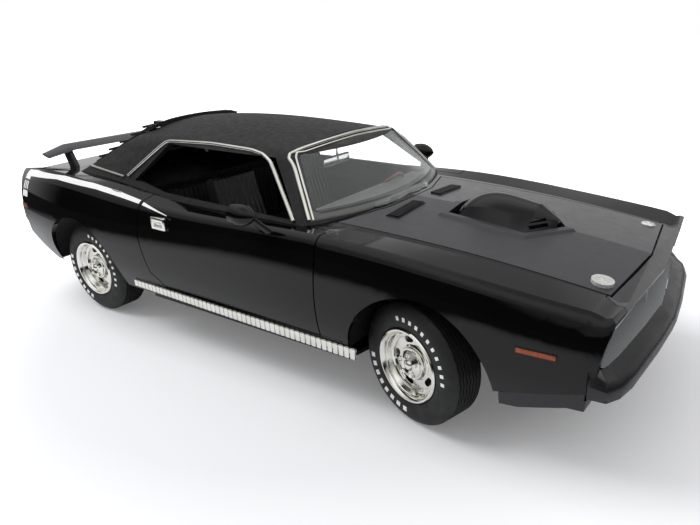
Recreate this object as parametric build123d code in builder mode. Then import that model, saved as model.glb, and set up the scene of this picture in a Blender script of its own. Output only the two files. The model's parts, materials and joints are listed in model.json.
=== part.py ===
from build123d import *
from functools import cache
from math import atan2, cos, degrees, hypot, radians, sin
import os

# A 1:18 die-cast model of a two-door hardtop muscle car, in millimetres.
# +X is the nose, +Y the car's left, +Z up.  The origin lies on the floor, under the middle
# of the bounding box.  Doors, hood and boot lid open; the wheels roll and the front pair steers.
os.makedirs("parts", exist_ok=True)
SIDES = (("left", 1), ("right", -1))

# ---- Stance ------------------------------------------------------------------------------------------
WHEELBASE = 152.4
FRONT_AXLE_X = 75.0
REAR_AXLE_X = FRONT_AXLE_X - WHEELBASE
TYRE_R = 18.4
TYRE_WIDTH = 12.6
RIM_R = 11.2
HUB_Z = TYRE_R
TRACK_HALF = 41.6
KINGPIN_Y = 33.2
STEER_DEG = -16.0
ARCH_R = 22.6
WELL_GAP = 1.4
WELL_WALL = 1.0

# ---- Body --------------------------------------------------------------------------------------------
WALL = 2.0
NOSE_WALL = 0.8
LID_WALL = 1.6
SHUT_GAP = 0.45
SEAM = 0.25
FIT = 0.1
# Cross-sections of the lower body, nose to tail.  Columns: station x, sill half width, widest
# half width and its height, shoulder half width, height and radius, panel break half width
# and height, centre height.
BODY_SECTIONS = (
    (134.0, 40.5, 45.5, 34.0, 43.8, 44.0, 2.0, 32.4, 43.3, 44.2),
    (112.0, 44.0, 50.2, 34.0, 47.9, 47.0, 2.4, 33.2, 46.4, 47.8),
    (75.0, 45.6, 51.2, 34.0, 48.9, 50.5, 2.6, 35.0, 50.1, 51.8),
    (26.0, 46.0, 51.0, 34.0, 49.0, 51.9, 2.6, 37.0, 51.8, 53.8),
    (-26.0, 46.0, 50.8, 34.3, 48.6, 51.1, 2.8, 38.6, 53.0, 54.2),
    (-75.0, 45.6, 52.8, 36.6, 49.4, 55.3, 3.8, 37.6, 54.8, 55.4),
    (-112.0, 43.4, 50.4, 39.0, 47.4, 55.2, 4.0, 34.6, 53.4, 54.0),
    (-134.0, 41.0, 46.8, 40.0, 44.2, 53.2, 4.0, 33.0, 51.8, 52.4),
)
SKIRT_Z = 13.0
SILL_LOW_Z = 16.0
CAVITY_Z = 5.0
NOSE_X = 126.6
NOSE_FAR_X = NOSE_X + 6.0
NOSE_CORNER = (124.0, 47.0)
NOSE_SIDE = (122.6, 53.0)
NOSE_RAKE = (1.5, 12.0)
NOSE_REF_Z = 44.0
NOSE_FALL = ((121.8, 47.0), (126.8, 42.2))
FENDER_LOW = ((97.0, 19.9), (120.3, 26.9))
FENDER_END_Z = 33.2
TAIL_X = -131.2
TAIL_CORNER = (-128.8, 36.0)
TAIL_SIDE = (-117.2, 50.5)
TAIL_LOW_X = -98.2
TAIL_KNEE = (-126.8, 33.6)
TAIL_EDGE_Z = (38.0, 43.5)
TAIL_TOP = (-125.8, 53.6)

# ---- Greenhouse --------------------------------------------------------------------------------------
ROOF_WALL = 1.8
BELT_Z = 52.0
CABIN_LOW_Z = 44.0
# Columns: station x, belt half width, eave half width, eave height, roof centre height.
ROOF_SECTIONS = (
    (54.8, 42.4, 27.4, 68.4, 71.2),
    (-7.2, 42.2, 30.2, 71.0, 75.2),
    (-53.2, 41.2, 29.4, 70.2, 74.6),
    (-105.2, 37.4, 24.0, 60.0, 62.5),
)
EAVE_R = 3.4
EAVE_RISE = 0.6
SCREEN_BASE_X = 43.8
SCREEN_SIDE = (33.4, 39.1)
SCREEN_RAKE = (-25.0, 23.0)
BACK_BASE_X = -99.2
BACK_SIDE = (-90.2, 37.0)
BACK_RAKE = (42.0, 19.0)
BACK_REF_Z = BELT_Z + 3.0


@cache
def body_block(inset):
    """The lofted lower body before nose, tail and skirt are cut, its skin moved in by inset."""
    with BuildPart(mode=Mode.PRIVATE) as block:
        for x, low_y, wide_y, wide_z, edge_y, edge_z, edge_r, break_y, break_z, mid_z in BODY_SECTIONS:
            bottom = SKIRT_Z if inset <= 0 else CAVITY_Z
            low = (low_y - inset, bottom)
            wide = (wide_y - inset, wide_z)
            side_end = (edge_y - inset, edge_z - inset - edge_r)
            top_start = (edge_y - inset - edge_r, edge_z - inset)
            panel_break = (break_y - inset, break_z - inset)
            middle = (0, mid_z - inset)
            with BuildSketch(Plane.YZ.offset(x)):
                with BuildLine():
                    Line((0, bottom), low)
                    TangentArc(wide, low, tangent=(0, -1))
                    side = TangentArc(wide, side_end, tangent=(0, 1))
                    TangentArc(side @ 1, top_start, tangent=side % 1)
                    Polyline(top_start, panel_break, middle, (0, bottom))
                make_face()
        loft()
        mirror(about=Plane.XZ)
    return block.part


@cache
def lower_body(inset, nose_inset=None):
    """The body below the belt as a solid; nose_inset moves the nose plane by another amount."""
    nose_inset = inset if nose_inset is None else nose_inset
    bottom = SKIRT_Z if inset <= 0 else CAVITY_Z
    rake_x, rake_z = NOSE_RAKE
    lean = NOSE_REF_Z * rake_x / rake_z + nose_inset
    fall = [(x - 0.7 * inset, z - 0.7 * inset) for x, z in NOSE_FALL]
    if inset > 0:
        skirt = [(TAIL_KNEE[0] + inset, bottom), (NOSE_FAR_X, bottom)]
    else:
        skirt = [
            (TAIL_LOW_X, bottom),
            (REAR_AXLE_X, bottom),
            (REAR_AXLE_X, SILL_LOW_Z),
            (FENDER_LOW[0][0], SILL_LOW_Z),
            *FENDER_LOW,
            (FENDER_LOW[1][0], FENDER_END_Z),
            (NOSE_FAR_X, FENDER_END_Z),
        ]
    steep = (fall[1][1] - fall[0][1]) / (fall[1][0] - fall[0][0])
    far_z = fall[1][1] + steep * (NOSE_FAR_X - fall[1][0])
    nose_top = [(NOSE_FAR_X, far_z), fall[0], (fall[0][0] - 3.0, 90)]
    tail = [
        (TAIL_TOP[0] + inset, 90),
        (TAIL_TOP[0] + inset, TAIL_TOP[1]),
        (TAIL_X + inset, TAIL_EDGE_Z[1]),
        (TAIL_X + inset, TAIL_EDGE_Z[0]),
        (TAIL_KNEE[0] + inset, TAIL_KNEE[1]),
    ]
    with BuildPart(mode=Mode.PRIVATE) as shape:
        add(body_block(inset))
        with BuildSketch(Plane.XZ):
            with BuildLine():
                Polyline(*skirt, *nose_top, *tail, close=True)
            make_face()
        extrude(amount=80, both=True, mode=Mode.INTERSECT)
        with BuildSketch(Plane.XY):
            with BuildLine():
                Polyline(
                    (-150, 0),
                    (NOSE_X - lean, 0),
                    (NOSE_CORNER[0] - lean, NOSE_CORNER[1]),
                    (NOSE_SIDE[0] - lean, NOSE_SIDE[1]),
                    (NOSE_SIDE[0] - lean, 60),
                    (-150, 60),
                    close=True,
                )
            make_face()
            mirror(about=Plane.XZ)
        extrude(amount=90, dir=(rake_x, 0, rake_z), mode=Mode.INTERSECT)
        with BuildSketch(Plane.XY):
            with BuildLine():
                Polyline(
                    (150, 0),
                    (150, 60),
                    (TAIL_LOW_X, 60),
                    TAIL_SIDE,
                    (TAIL_CORNER[0] + inset, TAIL_CORNER[1]),
                    (TAIL_X + inset, 0),
                    close=True,
                )
            make_face()
            mirror(about=Plane.XZ)
        extrude(amount=90, mode=Mode.INTERSECT)
    return shape.part


@cache
def greenhouse(inset):
    """The glass house and roof as a solid, every skin moved inwards by inset."""
    with BuildPart(mode=Mode.PRIVATE) as shape:
        for x, belt_y, eave_y, eave_z, roof_z in ROOF_SECTIONS:
            eave = (eave_y - inset, eave_z - inset)
            lean = atan2(eave_z - BELT_Z, belt_y - eave_y)
            side_top = (eave[0] + EAVE_R * cos(lean), eave[1] - EAVE_R * sin(lean))
            with BuildSketch(Plane.YZ.offset(x)):
                with BuildLine():
                    Polyline((0, CABIN_LOW_Z), (belt_y - inset, CABIN_LOW_Z), (belt_y - inset, BELT_Z))
                    side = Line((belt_y - inset, BELT_Z), side_top)
                    corner = TangentArc(side @ 1, (eave[0] - EAVE_R, eave[1] + EAVE_RISE), tangent=side % 1)
                    TangentArc((0, roof_z - inset), corner @ 1, tangent=(1, 0))
                    Line((0, roof_z - inset), (0, CABIN_LOW_Z))
                make_face()
        loft()
        mirror(about=Plane.XZ)
        # Columns: rake run and rise, plane height, middle x and side point there, side kept.
        for (run, rise), ref_z, mid_x, (side_x, side_y), way in (
            (SCREEN_RAKE, BELT_Z, SCREEN_BASE_X, SCREEN_SIDE, -1),
            (BACK_RAKE, BACK_REF_Z, BACK_BASE_X, BACK_SIDE, 1),
        ):
            slant = hypot(run, rise) / rise
            shift = way * inset * slant + (CABIN_LOW_Z - ref_z) * run / rise
            mid = (mid_x + shift, 0)
            end = (side_x + shift, side_y)
            far = way * 160
            with BuildSketch(Plane.XY.offset(CABIN_LOW_Z)):
                with BuildLine():
                    ThreePointArc((end[0], -end[1]), mid, end)
                    Polyline(
                        end, (end[0] + way * 12, 60), (far, 60), (far, -60), (end[0] + way * 12, -60),
                        (end[0], -end[1]),
                    )
                make_face()
            extrude(amount=(90 - CABIN_LOW_Z) * slant, dir=(run, 0, rise), mode=Mode.INTERSECT)
    return shape.part


def box_from(low, high):
    """A block between two opposite corners."""
    size = [b - a for a, b in zip(low, high)]
    middle = [(a + b) / 2 for a, b in zip(low, high)]
    return Pos(*middle) * Box(*size, mode=Mode.PRIVATE)


def mirrored(half):
    """A closed outline from the half at y >= 0, whose first and last points lie on y = 0."""
    return [*half, *[(x, -y) for x, y in reversed(half[1:-1])]]


def prism(plane, points, depth, both=False, round_r=0.0, grow=0.0, taper=0.0):
    """A straight prism over a closed outline, grown by grow and then rounded by round_r."""
    with BuildPart(mode=Mode.PRIVATE) as shape:
        with BuildSketch(plane) as outline:
            with BuildLine():
                Polyline(*points, close=True)
            make_face()
            if grow:
                offset(amount=grow, kind=Kind.INTERSECTION)
            if round_r:
                fillet(outline.vertices(), round_r)
        extrude(amount=depth, both=both, taper=taper)
    return shape.part


def largest(part):
    """The largest solid of a cut piece, without the scraps beside it."""
    return part.solids().sort_by(SortBy.VOLUME)[-1]


def write(piece, name):
    """Labels a finished piece and writes it."""
    piece.label = name
    export_step(piece, f"parts/{name}.step")


# ---- Shut lines and openings -------------------------------------------------------------------------
DOOR_OUTLINE = ((42.2, 60.0), (42.2, 21.6), (-29.2, 21.6), (-35.2, 26.5), (-38.2, 40.0), (-37.2, 60.0))
DOOR_THICK = 5.0
DOOR_INNER_Y = 41.6
HOOD_HALF = ((122.4, 0.0), (119.6, 32.0), (38.6, 33.2), (45.4, 14.0), (47.0, 0.0))
HEADER_HALF = ((121.0, 0.0), (119.0, 33.6), (121.5, 34.6), (124.5, 36.6), (130.0, 41.0), (140.0, 0.0))
BOOT_HALF = ((-100.8, 0.0), (-100.8, 30.0), (-102.2, 34.0), (-128.6, 33.0), (-128.6, 0.0))
LID_CUT_Z = 40.0
BOOT_LOW_Z = 47.0
SCREEN_WINDOW = ((-36.6, 54.4), (36.6, 54.4), (27.2, 69.4), (-27.2, 69.4))
SIDE_WINDOW = ((29.6, 52.4), (13.0, 68.6), (-38.5, 69.2), (-52.0, 55.8), (-34.0, 53.4))
BACK_WINDOW = ((-89.7, -25.6), (-59.7, -21.5), (-59.7, 21.5), (-89.7, 25.6))
WINDOW_ROUND = 1.5
GRILLE_Z = (31.5, 41.8)
GRILLE_WALL = 0.8
GRILLE_BACK_X = 113.0
NOSE_POCKET = ((116.0, 0.0), (116.0, 44.0), (120.0, 60.0), (140.0, 60.0), (140.0, 0.0))
OPEN_NOSE = -10.0
CABIN_HALF = 38.5
CABIN_X = (-63.2, 33.8)

outer = lower_body(0)
door_cut = prism(Plane.XZ, DOOR_OUTLINE, 80, both=True, grow=SHUT_GAP)
hood_cut = prism(Plane.XY.offset(LID_CUT_Z), mirrored(HOOD_HALF), 30, grow=SHUT_GAP)
header_plan = prism(Plane.XY.offset(LID_CUT_Z), mirrored(HEADER_HALF), 30)
header_cut = prism(Plane.XY.offset(LID_CUT_Z), mirrored(HEADER_HALF), 30, grow=SEAM)
boot_cut = prism(Plane.XY.offset(BOOT_LOW_Z), mirrored(BOOT_HALF), 30, grow=SHUT_GAP)


def side_block(side, near, x=(-150, 150), z=(0, 90)):
    """A block from a half width outwards on one side."""
    low_y, high_y = sorted((side * near, side * 60))
    return box_from((x[0], low_y, z[0]), (x[1], high_y, z[1]))


# ---- Body shell --------------------------------------------------------------------------------------
with BuildPart() as body_shell:
    add(outer)
    add(lower_body(WALL, OPEN_NOSE), mode=Mode.SUBTRACT)
    for _, side in SIDES:
        for axle_x in (FRONT_AXLE_X, REAR_AXLE_X):
            with BuildSketch(Plane.XZ.offset(-side * 30)):
                with Locations((axle_x, HUB_Z)):
                    Circle(ARCH_R)
            extrude(amount=-side * 40, mode=Mode.SUBTRACT)
        add(door_cut & side_block(side, DOOR_INNER_Y - SHUT_GAP), mode=Mode.SUBTRACT)
    add(hood_cut, mode=Mode.SUBTRACT)
    add(header_cut, mode=Mode.SUBTRACT)
    add(boot_cut, mode=Mode.SUBTRACT)
    add(greenhouse(ROOF_WALL) & box_from((-120, -60, BELT_Z - 1), (60, 60, 90)), mode=Mode.SUBTRACT)
    add(box_from((CABIN_X[0], -CABIN_HALF, 30), (CABIN_X[1], CABIN_HALF, 60)), mode=Mode.SUBTRACT)
    pocket = prism(Plane.XY.offset(GRILLE_Z[0] - GRILLE_WALL - FIT), mirrored(NOSE_POCKET), 30)
    add(pocket & lower_body(NOSE_WALL, OPEN_NOSE), mode=Mode.SUBTRACT)
write(body_shell.part, "body_shell")

# ---- Header panel between the fenders, ahead of the hood ---------------------------------------------
with BuildPart() as header_panel:
    add(outer)
    add(lower_body(NOSE_WALL, OPEN_NOSE), mode=Mode.SUBTRACT)
    add(header_plan, mode=Mode.INTERSECT)
    add(hood_cut, mode=Mode.SUBTRACT)
write(header_panel.part, "header_panel")

# ---- Roof --------------------------------------------------------------------------------------------
with BuildPart() as roof_shell:
    add(greenhouse(0))
    add(greenhouse(ROOF_WALL), mode=Mode.SUBTRACT)
    add(outer, mode=Mode.SUBTRACT)
    add(prism(Plane.YZ, SCREEN_WINDOW, 80, round_r=WINDOW_ROUND), mode=Mode.SUBTRACT)
    add(prism(Plane.XZ, SIDE_WINDOW, 60, both=True), mode=Mode.SUBTRACT)
    add(prism(Plane.XY.offset(50), BACK_WINDOW, 40, round_r=WINDOW_ROUND), mode=Mode.SUBTRACT)
write(roof_shell.part, "roof_shell")

# ---- Doors -------------------------------------------------------------------------------------------
door_prism = prism(Plane.XZ, DOOR_OUTLINE, 80, both=True)
for side_name, side in SIDES:
    with BuildPart() as door:
        add(outer)
        add(lower_body(DOOR_THICK), mode=Mode.SUBTRACT)
        add(door_prism & side_block(side, DOOR_INNER_Y), mode=Mode.INTERSECT)
    write(door.part, f"door_{side_name}")

# ---- Hood with the raised lip round the scoop --------------------------------------------------------
LIP_HALF = ((102.0, 0.0), (91.5, 15.0), (62.5, 12.5), (61.0, 0.0))
LIP_INNER = ((98.0, 0.0), (90.0, 12.5), (64.5, 10.5), (64.0, 0.0))
LIP_FOOT = 1.5
LIP_SLOPE = 45
SKIN_RISE = 0.7
HOOD_FALL = 0.09
HOOD_LINE_Z = 58.0
lip_plane = Plane(origin=(0, 0, HOOD_LINE_Z), x_dir=(1, 0, -HOOD_FALL), z_dir=(HOOD_FALL, 0, 1))
with BuildPart() as hood:
    add(outer)
    add(prism(Plane.XY.offset(LID_CUT_Z), mirrored(HOOD_HALF), 30), mode=Mode.INTERSECT)
    foot = lip_plane.offset(-LIP_FOOT)
    lip = prism(foot, mirrored(LIP_HALF), 2 * LIP_FOOT, grow=LIP_FOOT, taper=LIP_SLOPE)
    add(lip & lower_body(-SKIN_RISE))
    add(lower_body(LID_WALL, OPEN_NOSE), mode=Mode.SUBTRACT)
    add(prism(Plane.XY.offset(LID_CUT_Z), mirrored(LIP_INNER), 30), mode=Mode.SUBTRACT)
write(hood.part, "hood")

# ---- Pieces on the hood: two mesh vents and two pins -------------------------------------------------
VENT_HALF = ((49.0, 6.2), (53.4, 5.4), (53.0, 21.0), (48.6, 21.8))
VENT_RISE = 0.3
PIN_X = 116.2
PIN_Y = 27.1
PIN_PLATE = (2.9, 2.2)
PIN_R = 0.9
PIN_TOP_Z = 48.4
vent_skin = lower_body(-VENT_RISE)
with BuildPart() as hood_vents:
    add(prism(Plane.XY.offset(LID_CUT_Z), VENT_HALF, 20))
    mirror(about=Plane.XZ)
    add(vent_skin, mode=Mode.INTERSECT)
    add(outer, mode=Mode.SUBTRACT)
write(hood_vents.part, "hood_vents")

with BuildPart() as hood_pins:
    with BuildSketch(Plane.XY.offset(LID_CUT_Z)):
        with Locations((PIN_X, PIN_Y), (PIN_X, -PIN_Y)):
            Ellipse(*PIN_PLATE)
    extrude(amount=20)
    add(vent_skin, mode=Mode.INTERSECT)
    with BuildSketch(Plane.XY.offset(LID_CUT_Z)):
        with Locations((PIN_X, PIN_Y), (PIN_X, -PIN_Y)):
            Circle(PIN_R)
    extrude(amount=PIN_TOP_Z - LID_CUT_Z)
    add(outer, mode=Mode.SUBTRACT)
write(hood_pins.part, "hood_pins")

# ---- Boot lid ----------------------------------------------------------------------------------------
with BuildPart() as boot_lid:
    add(outer)
    add(lower_body(LID_WALL, OPEN_NOSE), mode=Mode.SUBTRACT)
    add(prism(Plane.XY.offset(BOOT_LOW_Z + SHUT_GAP), mirrored(BOOT_HALF), 30), mode=Mode.INTERSECT)
write(boot_lid.part, "boot_lid")

# ---- Glass -------------------------------------------------------------------------------------------
GLASS_INSET = 0.5
GLASS_THICK = 1.0
with BuildPart() as windscreen:
    add(greenhouse(GLASS_INSET))
    add(greenhouse(GLASS_INSET + GLASS_THICK), mode=Mode.SUBTRACT)
    add(prism(Plane.YZ, SCREEN_WINDOW, 80, round_r=WINDOW_ROUND), mode=Mode.INTERSECT)
write(windscreen.part, "windscreen")

with BuildPart() as rear_glass:
    add(greenhouse(GLASS_INSET))
    add(greenhouse(GLASS_INSET + GLASS_THICK), mode=Mode.SUBTRACT)
    add(prism(Plane.XY.offset(50), BACK_WINDOW, 40, round_r=WINDOW_ROUND), mode=Mode.INTERSECT)
write(rear_glass.part, "rear_glass")

# ---- Rear window louvre ------------------------------------------------------------------------------
LOUVRE_LIFT = 0.4
LOUVRE_FRAME = 1.2
LOUVRE_PLAN = ((-95.2, 27.5), (-58.2, 22.8))
LOUVRE_RAIL = 3.0
LOUVRE_LOW_Z = 56.5
SLAT_COUNT = 5
SLAT_PITCH = 8.2
SLAT_LENGTH = 8.8
SLAT_LIFT = 2.0
SLAT_THICK = 0.9
SLAT_FIRST = 2.2
HINGE_X = -60.2
HINGE_Y = 17.6
HINGE_Z = 73.2
HINGE_SIZE = (4.4, 2.6, 2.0)
back_run, back_rise = BACK_RAKE
back_length = hypot(back_run, back_rise)
back_sag = BACK_SIDE[0] - BACK_BASE_X
back_radius = (BACK_SIDE[1] ** 2 + back_sag**2) / (2 * back_sag)


def on_back(along, out):
    """A point of the rear window's middle line: along its slope from the base, and out of it."""
    x = BACK_BASE_X + (along * back_run - out * back_rise) / back_length
    z = BACK_REF_Z + (along * back_rise + out * back_run) / back_length
    return x, z


with BuildPart() as rear_louvre:
    add(greenhouse(-LOUVRE_LIFT - LOUVRE_FRAME))
    add(greenhouse(-LOUVRE_LIFT), mode=Mode.SUBTRACT)
    (low_x, low_y), (top_x, top_y) = LOUVRE_PLAN
    plan = ((low_x, -low_y), (top_x, -top_y), (top_x, top_y), (low_x, low_y))
    add(prism(Plane.XY.offset(LOUVRE_LOW_Z), plan, 40, round_r=2.0), mode=Mode.INTERSECT)
    add(prism(Plane.XY.offset(LOUVRE_LOW_Z), plan, 40, grow=-LOUVRE_RAIL), mode=Mode.SUBTRACT)
    with BuildPart(mode=Mode.PRIVATE) as slats:
        for number in range(SLAT_COUNT):
            start = SLAT_FIRST + number * SLAT_PITCH
            centre_x = on_back(start, 0)[0] + back_radius
            with BuildSketch(Plane.XZ):
                with BuildLine():
                    Polyline(
                        on_back(start, LOUVRE_LIFT + SLAT_LIFT),
                        on_back(start, LOUVRE_LIFT + SLAT_LIFT + SLAT_THICK),
                        on_back(start + SLAT_LENGTH, LOUVRE_LIFT + SLAT_THICK),
                        on_back(start + SLAT_LENGTH, LOUVRE_LIFT),
                        close=True,
                    )
                make_face()
            revolve(axis=Axis((centre_x, 0, 0), (0, 0, 1)))
        add(prism(Plane.XY.offset(LOUVRE_LOW_Z), plan, 40, grow=-LOUVRE_RAIL / 2), mode=Mode.INTERSECT)
    add(slats.part)
    for _, side in SIDES:
        with Locations((HINGE_X, side * HINGE_Y, HINGE_Z)):
            Box(*HINGE_SIZE)
write(rear_louvre.part, "rear_louvre")

# ---- Wing on the boot lid ----------------------------------------------------------------------------
WING_X = -112.2
WING_Z = 61.2
WING_CHORD = 10.0
WING_THICK = 1.4
WING_STRAIGHT_Y = 28.0
WING_TIP = (38.5, 2.0, 0.55)
WING_FOOT_Y = 29.0
WING_FOOT_X = (-104.6, -110.0)
WING_HEAD_X = (-109.4, -114.2)
STRUT_HALF = 0.8


def wing_section(y, drop, share):
    """The wing's blade section at one half width, lowered by drop and scaled by share."""
    half = share * WING_CHORD / 2
    with BuildSketch(Plane.XZ.offset(-y)) as section:
        with BuildLine():
            front = (WING_X + half, WING_Z - drop - 0.6)
            rear = (WING_X - half, WING_Z - drop + 0.9)
            upper = ThreePointArc(front, (WING_X, WING_Z - drop + WING_THICK * share), rear)
            ThreePointArc(upper @ 1, (WING_X, WING_Z - drop), front)
        make_face()
    return section.sketch


with BuildPart() as rear_wing:
    extrude(wing_section(-WING_STRAIGHT_Y, 0, 1), amount=2 * WING_STRAIGHT_Y, dir=(0, 1, 0))
    for _, side in SIDES:
        tip_y, drop, share = WING_TIP
        root = wing_section(side * WING_STRAIGHT_Y, 0, 1).face()
        loft([root, wing_section(side * tip_y, drop, share).face()])
        with BuildSketch(Plane.XZ.offset(-side * WING_FOOT_Y)):
            with BuildLine():
                Polyline(
                    (WING_FOOT_X[0], 52.0),
                    (WING_HEAD_X[0], WING_Z + 0.4),
                    (WING_HEAD_X[1], WING_Z + 0.6),
                    (WING_FOOT_X[1], 52.0),
                    close=True,
                )
            make_face()
        extrude(amount=STRUT_HALF, both=True)
    add(outer, mode=Mode.SUBTRACT)
write(largest(rear_wing), "rear_wing")

# ---- Nose: grille, headlamps, bumper and valance -----------------------------------------------------
# Columns: rim x and y at mid height, then x and y of the rear top edge, middle to corner.
BUMPER_PLAN = (
    (131.7, 0.0, 127.0, 0.0),
    (130.9, 15.0, 126.0, 14.2),
    (128.9, 36.5, 123.9, 34.8),
    (127.4, 43.0, 122.9, 40.6),
    (125.0, 46.8, 121.9, 43.6),
)
BUMPER_END = (120.5, 48.9, 45.0)
# Columns: share of the bumper's depth, height; then the heights at its end.
BUMPER_SECTION = ((0.0, 31.4), (0.78, 29.6), (1.0, 27.6), (0.86, 24.6), (0.0, 24.6))
BUMPER_END_Z = (33.0, 32.8, 29.4, 25.6, 25.6)
SHELF_GAP = 0.1
GRILLE_SIDE = ((GRILLE_BACK_X, 42.4), (115.9, 43.8), (119.9, 60.0), (140.0, 60.0), (140.0, 0.0))
POCKET_X = GRILLE_BACK_X + 1.0
POCKET_SIDE = ((POCKET_X, 0.0), (POCKET_X, 41.4), (118.5, 60.0), (140.0, 60.0), (140.0, 0.0))
TROUGH_NOSE = 0.4
LAMP_Y = 33.5
LAMP_Z = 36.6
LAMP_R = 4.3
BEZEL = 0.7
BAR_Z = (33.2, 34.9, 36.6, 38.3, 40.0)
BAR_SIZE = (1.6, 24.6, 0.5)
BAR_Y = 15.2
DIVIDER = 1.2

with BuildPart() as grille_surround:
    add(lower_body(NOSE_WALL + FIT, TROUGH_NOSE))
    add(prism(Plane.XY.offset(GRILLE_Z[0]), mirrored(((GRILLE_BACK_X, 0.0), *GRILLE_SIDE)),
              GRILLE_Z[1] + GRILLE_WALL - GRILLE_Z[0]), mode=Mode.INTERSECT)
    add(prism(Plane.XY.offset(GRILLE_Z[0]), mirrored(POCKET_SIDE), GRILLE_Z[1] - GRILLE_Z[0])
        & lower_body(NOSE_WALL + FIT + GRILLE_WALL, OPEN_NOSE), mode=Mode.SUBTRACT)
    shelf = [(x - SHELF_GAP, y) for _, _, x, y in BUMPER_PLAN]
    shelf += [(BUMPER_END[0], BUMPER_PLAN[-1][3]), (115.9, 43.6)]
    shelf += [(GRILLE_BACK_X, 42.4), (GRILLE_BACK_X, 0.0)]
    add(prism(Plane.XY.offset(GRILLE_Z[0] - GRILLE_WALL), mirrored(shelf), GRILLE_WALL))
    with Locations((GRILLE_BACK_X + 5.5, 0, sum(GRILLE_Z) / 2)):
        Box(9.0, DIVIDER, GRILLE_Z[1] - GRILLE_Z[0])
write(grille_surround.part, "grille_surround")

with BuildPart() as grille:
    for _, side in SIDES:
        for z in BAR_Z:
            with Locations((GRILLE_BACK_X + 1.0 + BAR_SIZE[0] / 2, side * BAR_Y, z)):
                Box(*BAR_SIZE)
        for y in (BAR_Y - 10.0, BAR_Y, BAR_Y + 10.0):
            with Locations((GRILLE_BACK_X + 1.0 + BAR_SIZE[0] / 4, side * y, sum(GRILLE_Z) / 2)):
                Box(BAR_SIZE[0] / 2, 0.5, BAR_Z[-1] - BAR_Z[0])
        with BuildSketch(Plane.YZ.offset(GRILLE_BACK_X + 1.0)):
            with Locations((side * LAMP_Y, LAMP_Z)):
                Circle(LAMP_R + BEZEL)
                Circle(LAMP_R + FIT, mode=Mode.SUBTRACT)
        extrude(amount=3.0)
write(grille.part, "grille")

with BuildPart() as headlamps:
    with BuildSketch(Plane.YZ.offset(GRILLE_BACK_X + 1.0)):
        with Locations((LAMP_Y, LAMP_Z), (-LAMP_Y, LAMP_Z)):
            Circle(LAMP_R)
    extrude(amount=1.8)
    fillet(headlamps.edges().filter_by(GeomType.CIRCLE).group_by(Axis.X)[-1], 0.9)
write(headlamps.part, "headlamps")


def bumper_face(rim, inner, heights):
    """One section of the front bumper, standing in the plane through its rim and inner edge."""
    points = []
    for (share, _), z in zip(BUMPER_SECTION, heights):
        place_x = inner[0] + share * (rim[0] - inner[0])
        place_y = inner[1] + share * (rim[1] - inner[1])
        points.append(Vector(place_x, place_y, z))
    return Face(Wire.make_polygon(points, close=True))


with BuildPart() as front_bumper:
    heights = [z for _, z in BUMPER_SECTION]
    faces = [bumper_face((rx, ry), (ix, iy), heights) for rx, ry, ix, iy in BUMPER_PLAN]
    end_x, rim_y, inner_y = BUMPER_END
    faces.append(bumper_face((end_x, rim_y), (end_x, inner_y), BUMPER_END_Z))
    for near, far in zip(faces, faces[1:]):
        loft([near, far], ruled=True)
    mirror(about=Plane.XZ)
    add(lower_body(-FIT), mode=Mode.SUBTRACT)
write(largest(front_bumper), "front_bumper")

VALANCE_INSET = 1.2
VALANCE_SIDE = ((99.0, 16.4), (99.0, 20.3), (119.8, 26.6), (119.8, 24.4), (124.5, 24.4), (124.5, 21.0),
                (116.0, 21.0), (104.0, 17.0))
with BuildPart() as front_valance:
    add(lower_body(VALANCE_INSET))
    add(lower_body(WALL), mode=Mode.SUBTRACT)
    add(prism(Plane.XZ, VALANCE_SIDE, 60, both=True), mode=Mode.INTERSECT)
write(largest(front_valance), "front_valance")

# ---- Tail: panel, lamps and bumper -------------------------------------------------------------------
TAIL_PANEL = (37.0, 40.2, 48.4)
TAIL_LAMP = (15.0, 34.5, 41.4, 47.2)
REAR_BUMPER_PLAN = ((-131.7, 0.0), (-130.9, 36.0), (-124.0, 47.0), (-115.4, 50.2))
REAR_BUMPER_INNER = ((-115.4, 48.8), (-122.4, 45.6), (-128.0, 35.0), (-128.8, 0.0))
REAR_BUMPER_Z = (33.2, 38.6)
REAR_BUMPER_EDGE = 0.8
tail_skin = lower_body(-SKIN_RISE)
skin_gap = lower_body(-FIT)
half, low_z, high_z = TAIL_PANEL
near, far, lamp_low, lamp_high = TAIL_LAMP
lamp_box = box_from((-140, near, lamp_low), (-120, far, lamp_high))
lamp_boxes = lamp_box + lamp_box.mirror(Plane.XZ)
with BuildPart() as tail_panel:
    add(tail_skin & box_from((-140, -half, low_z), (-124, half, high_z)))
    add(skin_gap, mode=Mode.SUBTRACT)
    add(lamp_boxes, mode=Mode.SUBTRACT)
write(tail_panel.part, "tail_panel")

with BuildPart() as tail_lamps:
    add(tail_skin & lamp_boxes)
    add(skin_gap, mode=Mode.SUBTRACT)
write(tail_lamps.part, "tail_lamps")

with BuildPart() as rear_bumper:
    with BuildSketch(Plane.XY.offset(REAR_BUMPER_Z[0])):
        with BuildLine():
            Polyline(*REAR_BUMPER_PLAN, *REAR_BUMPER_INNER, close=True)
        make_face()
        mirror(about=Plane.XZ)
    extrude(amount=REAR_BUMPER_Z[1] - REAR_BUMPER_Z[0])
    rear_edges = rear_bumper.edges().filter_by(Axis.Z, reverse=True)
    rim_edges = rear_edges.filter_by(lambda edge: abs(edge.center().X + 131.0) < 1.2)
    rim_edges = rim_edges.filter_by(lambda edge: abs(edge.center().Y) < 36)
    chamfer(rim_edges, REAR_BUMPER_EDGE)
    add(skin_gap, mode=Mode.SUBTRACT)
write(largest(rear_bumper), "rear_bumper")

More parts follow.
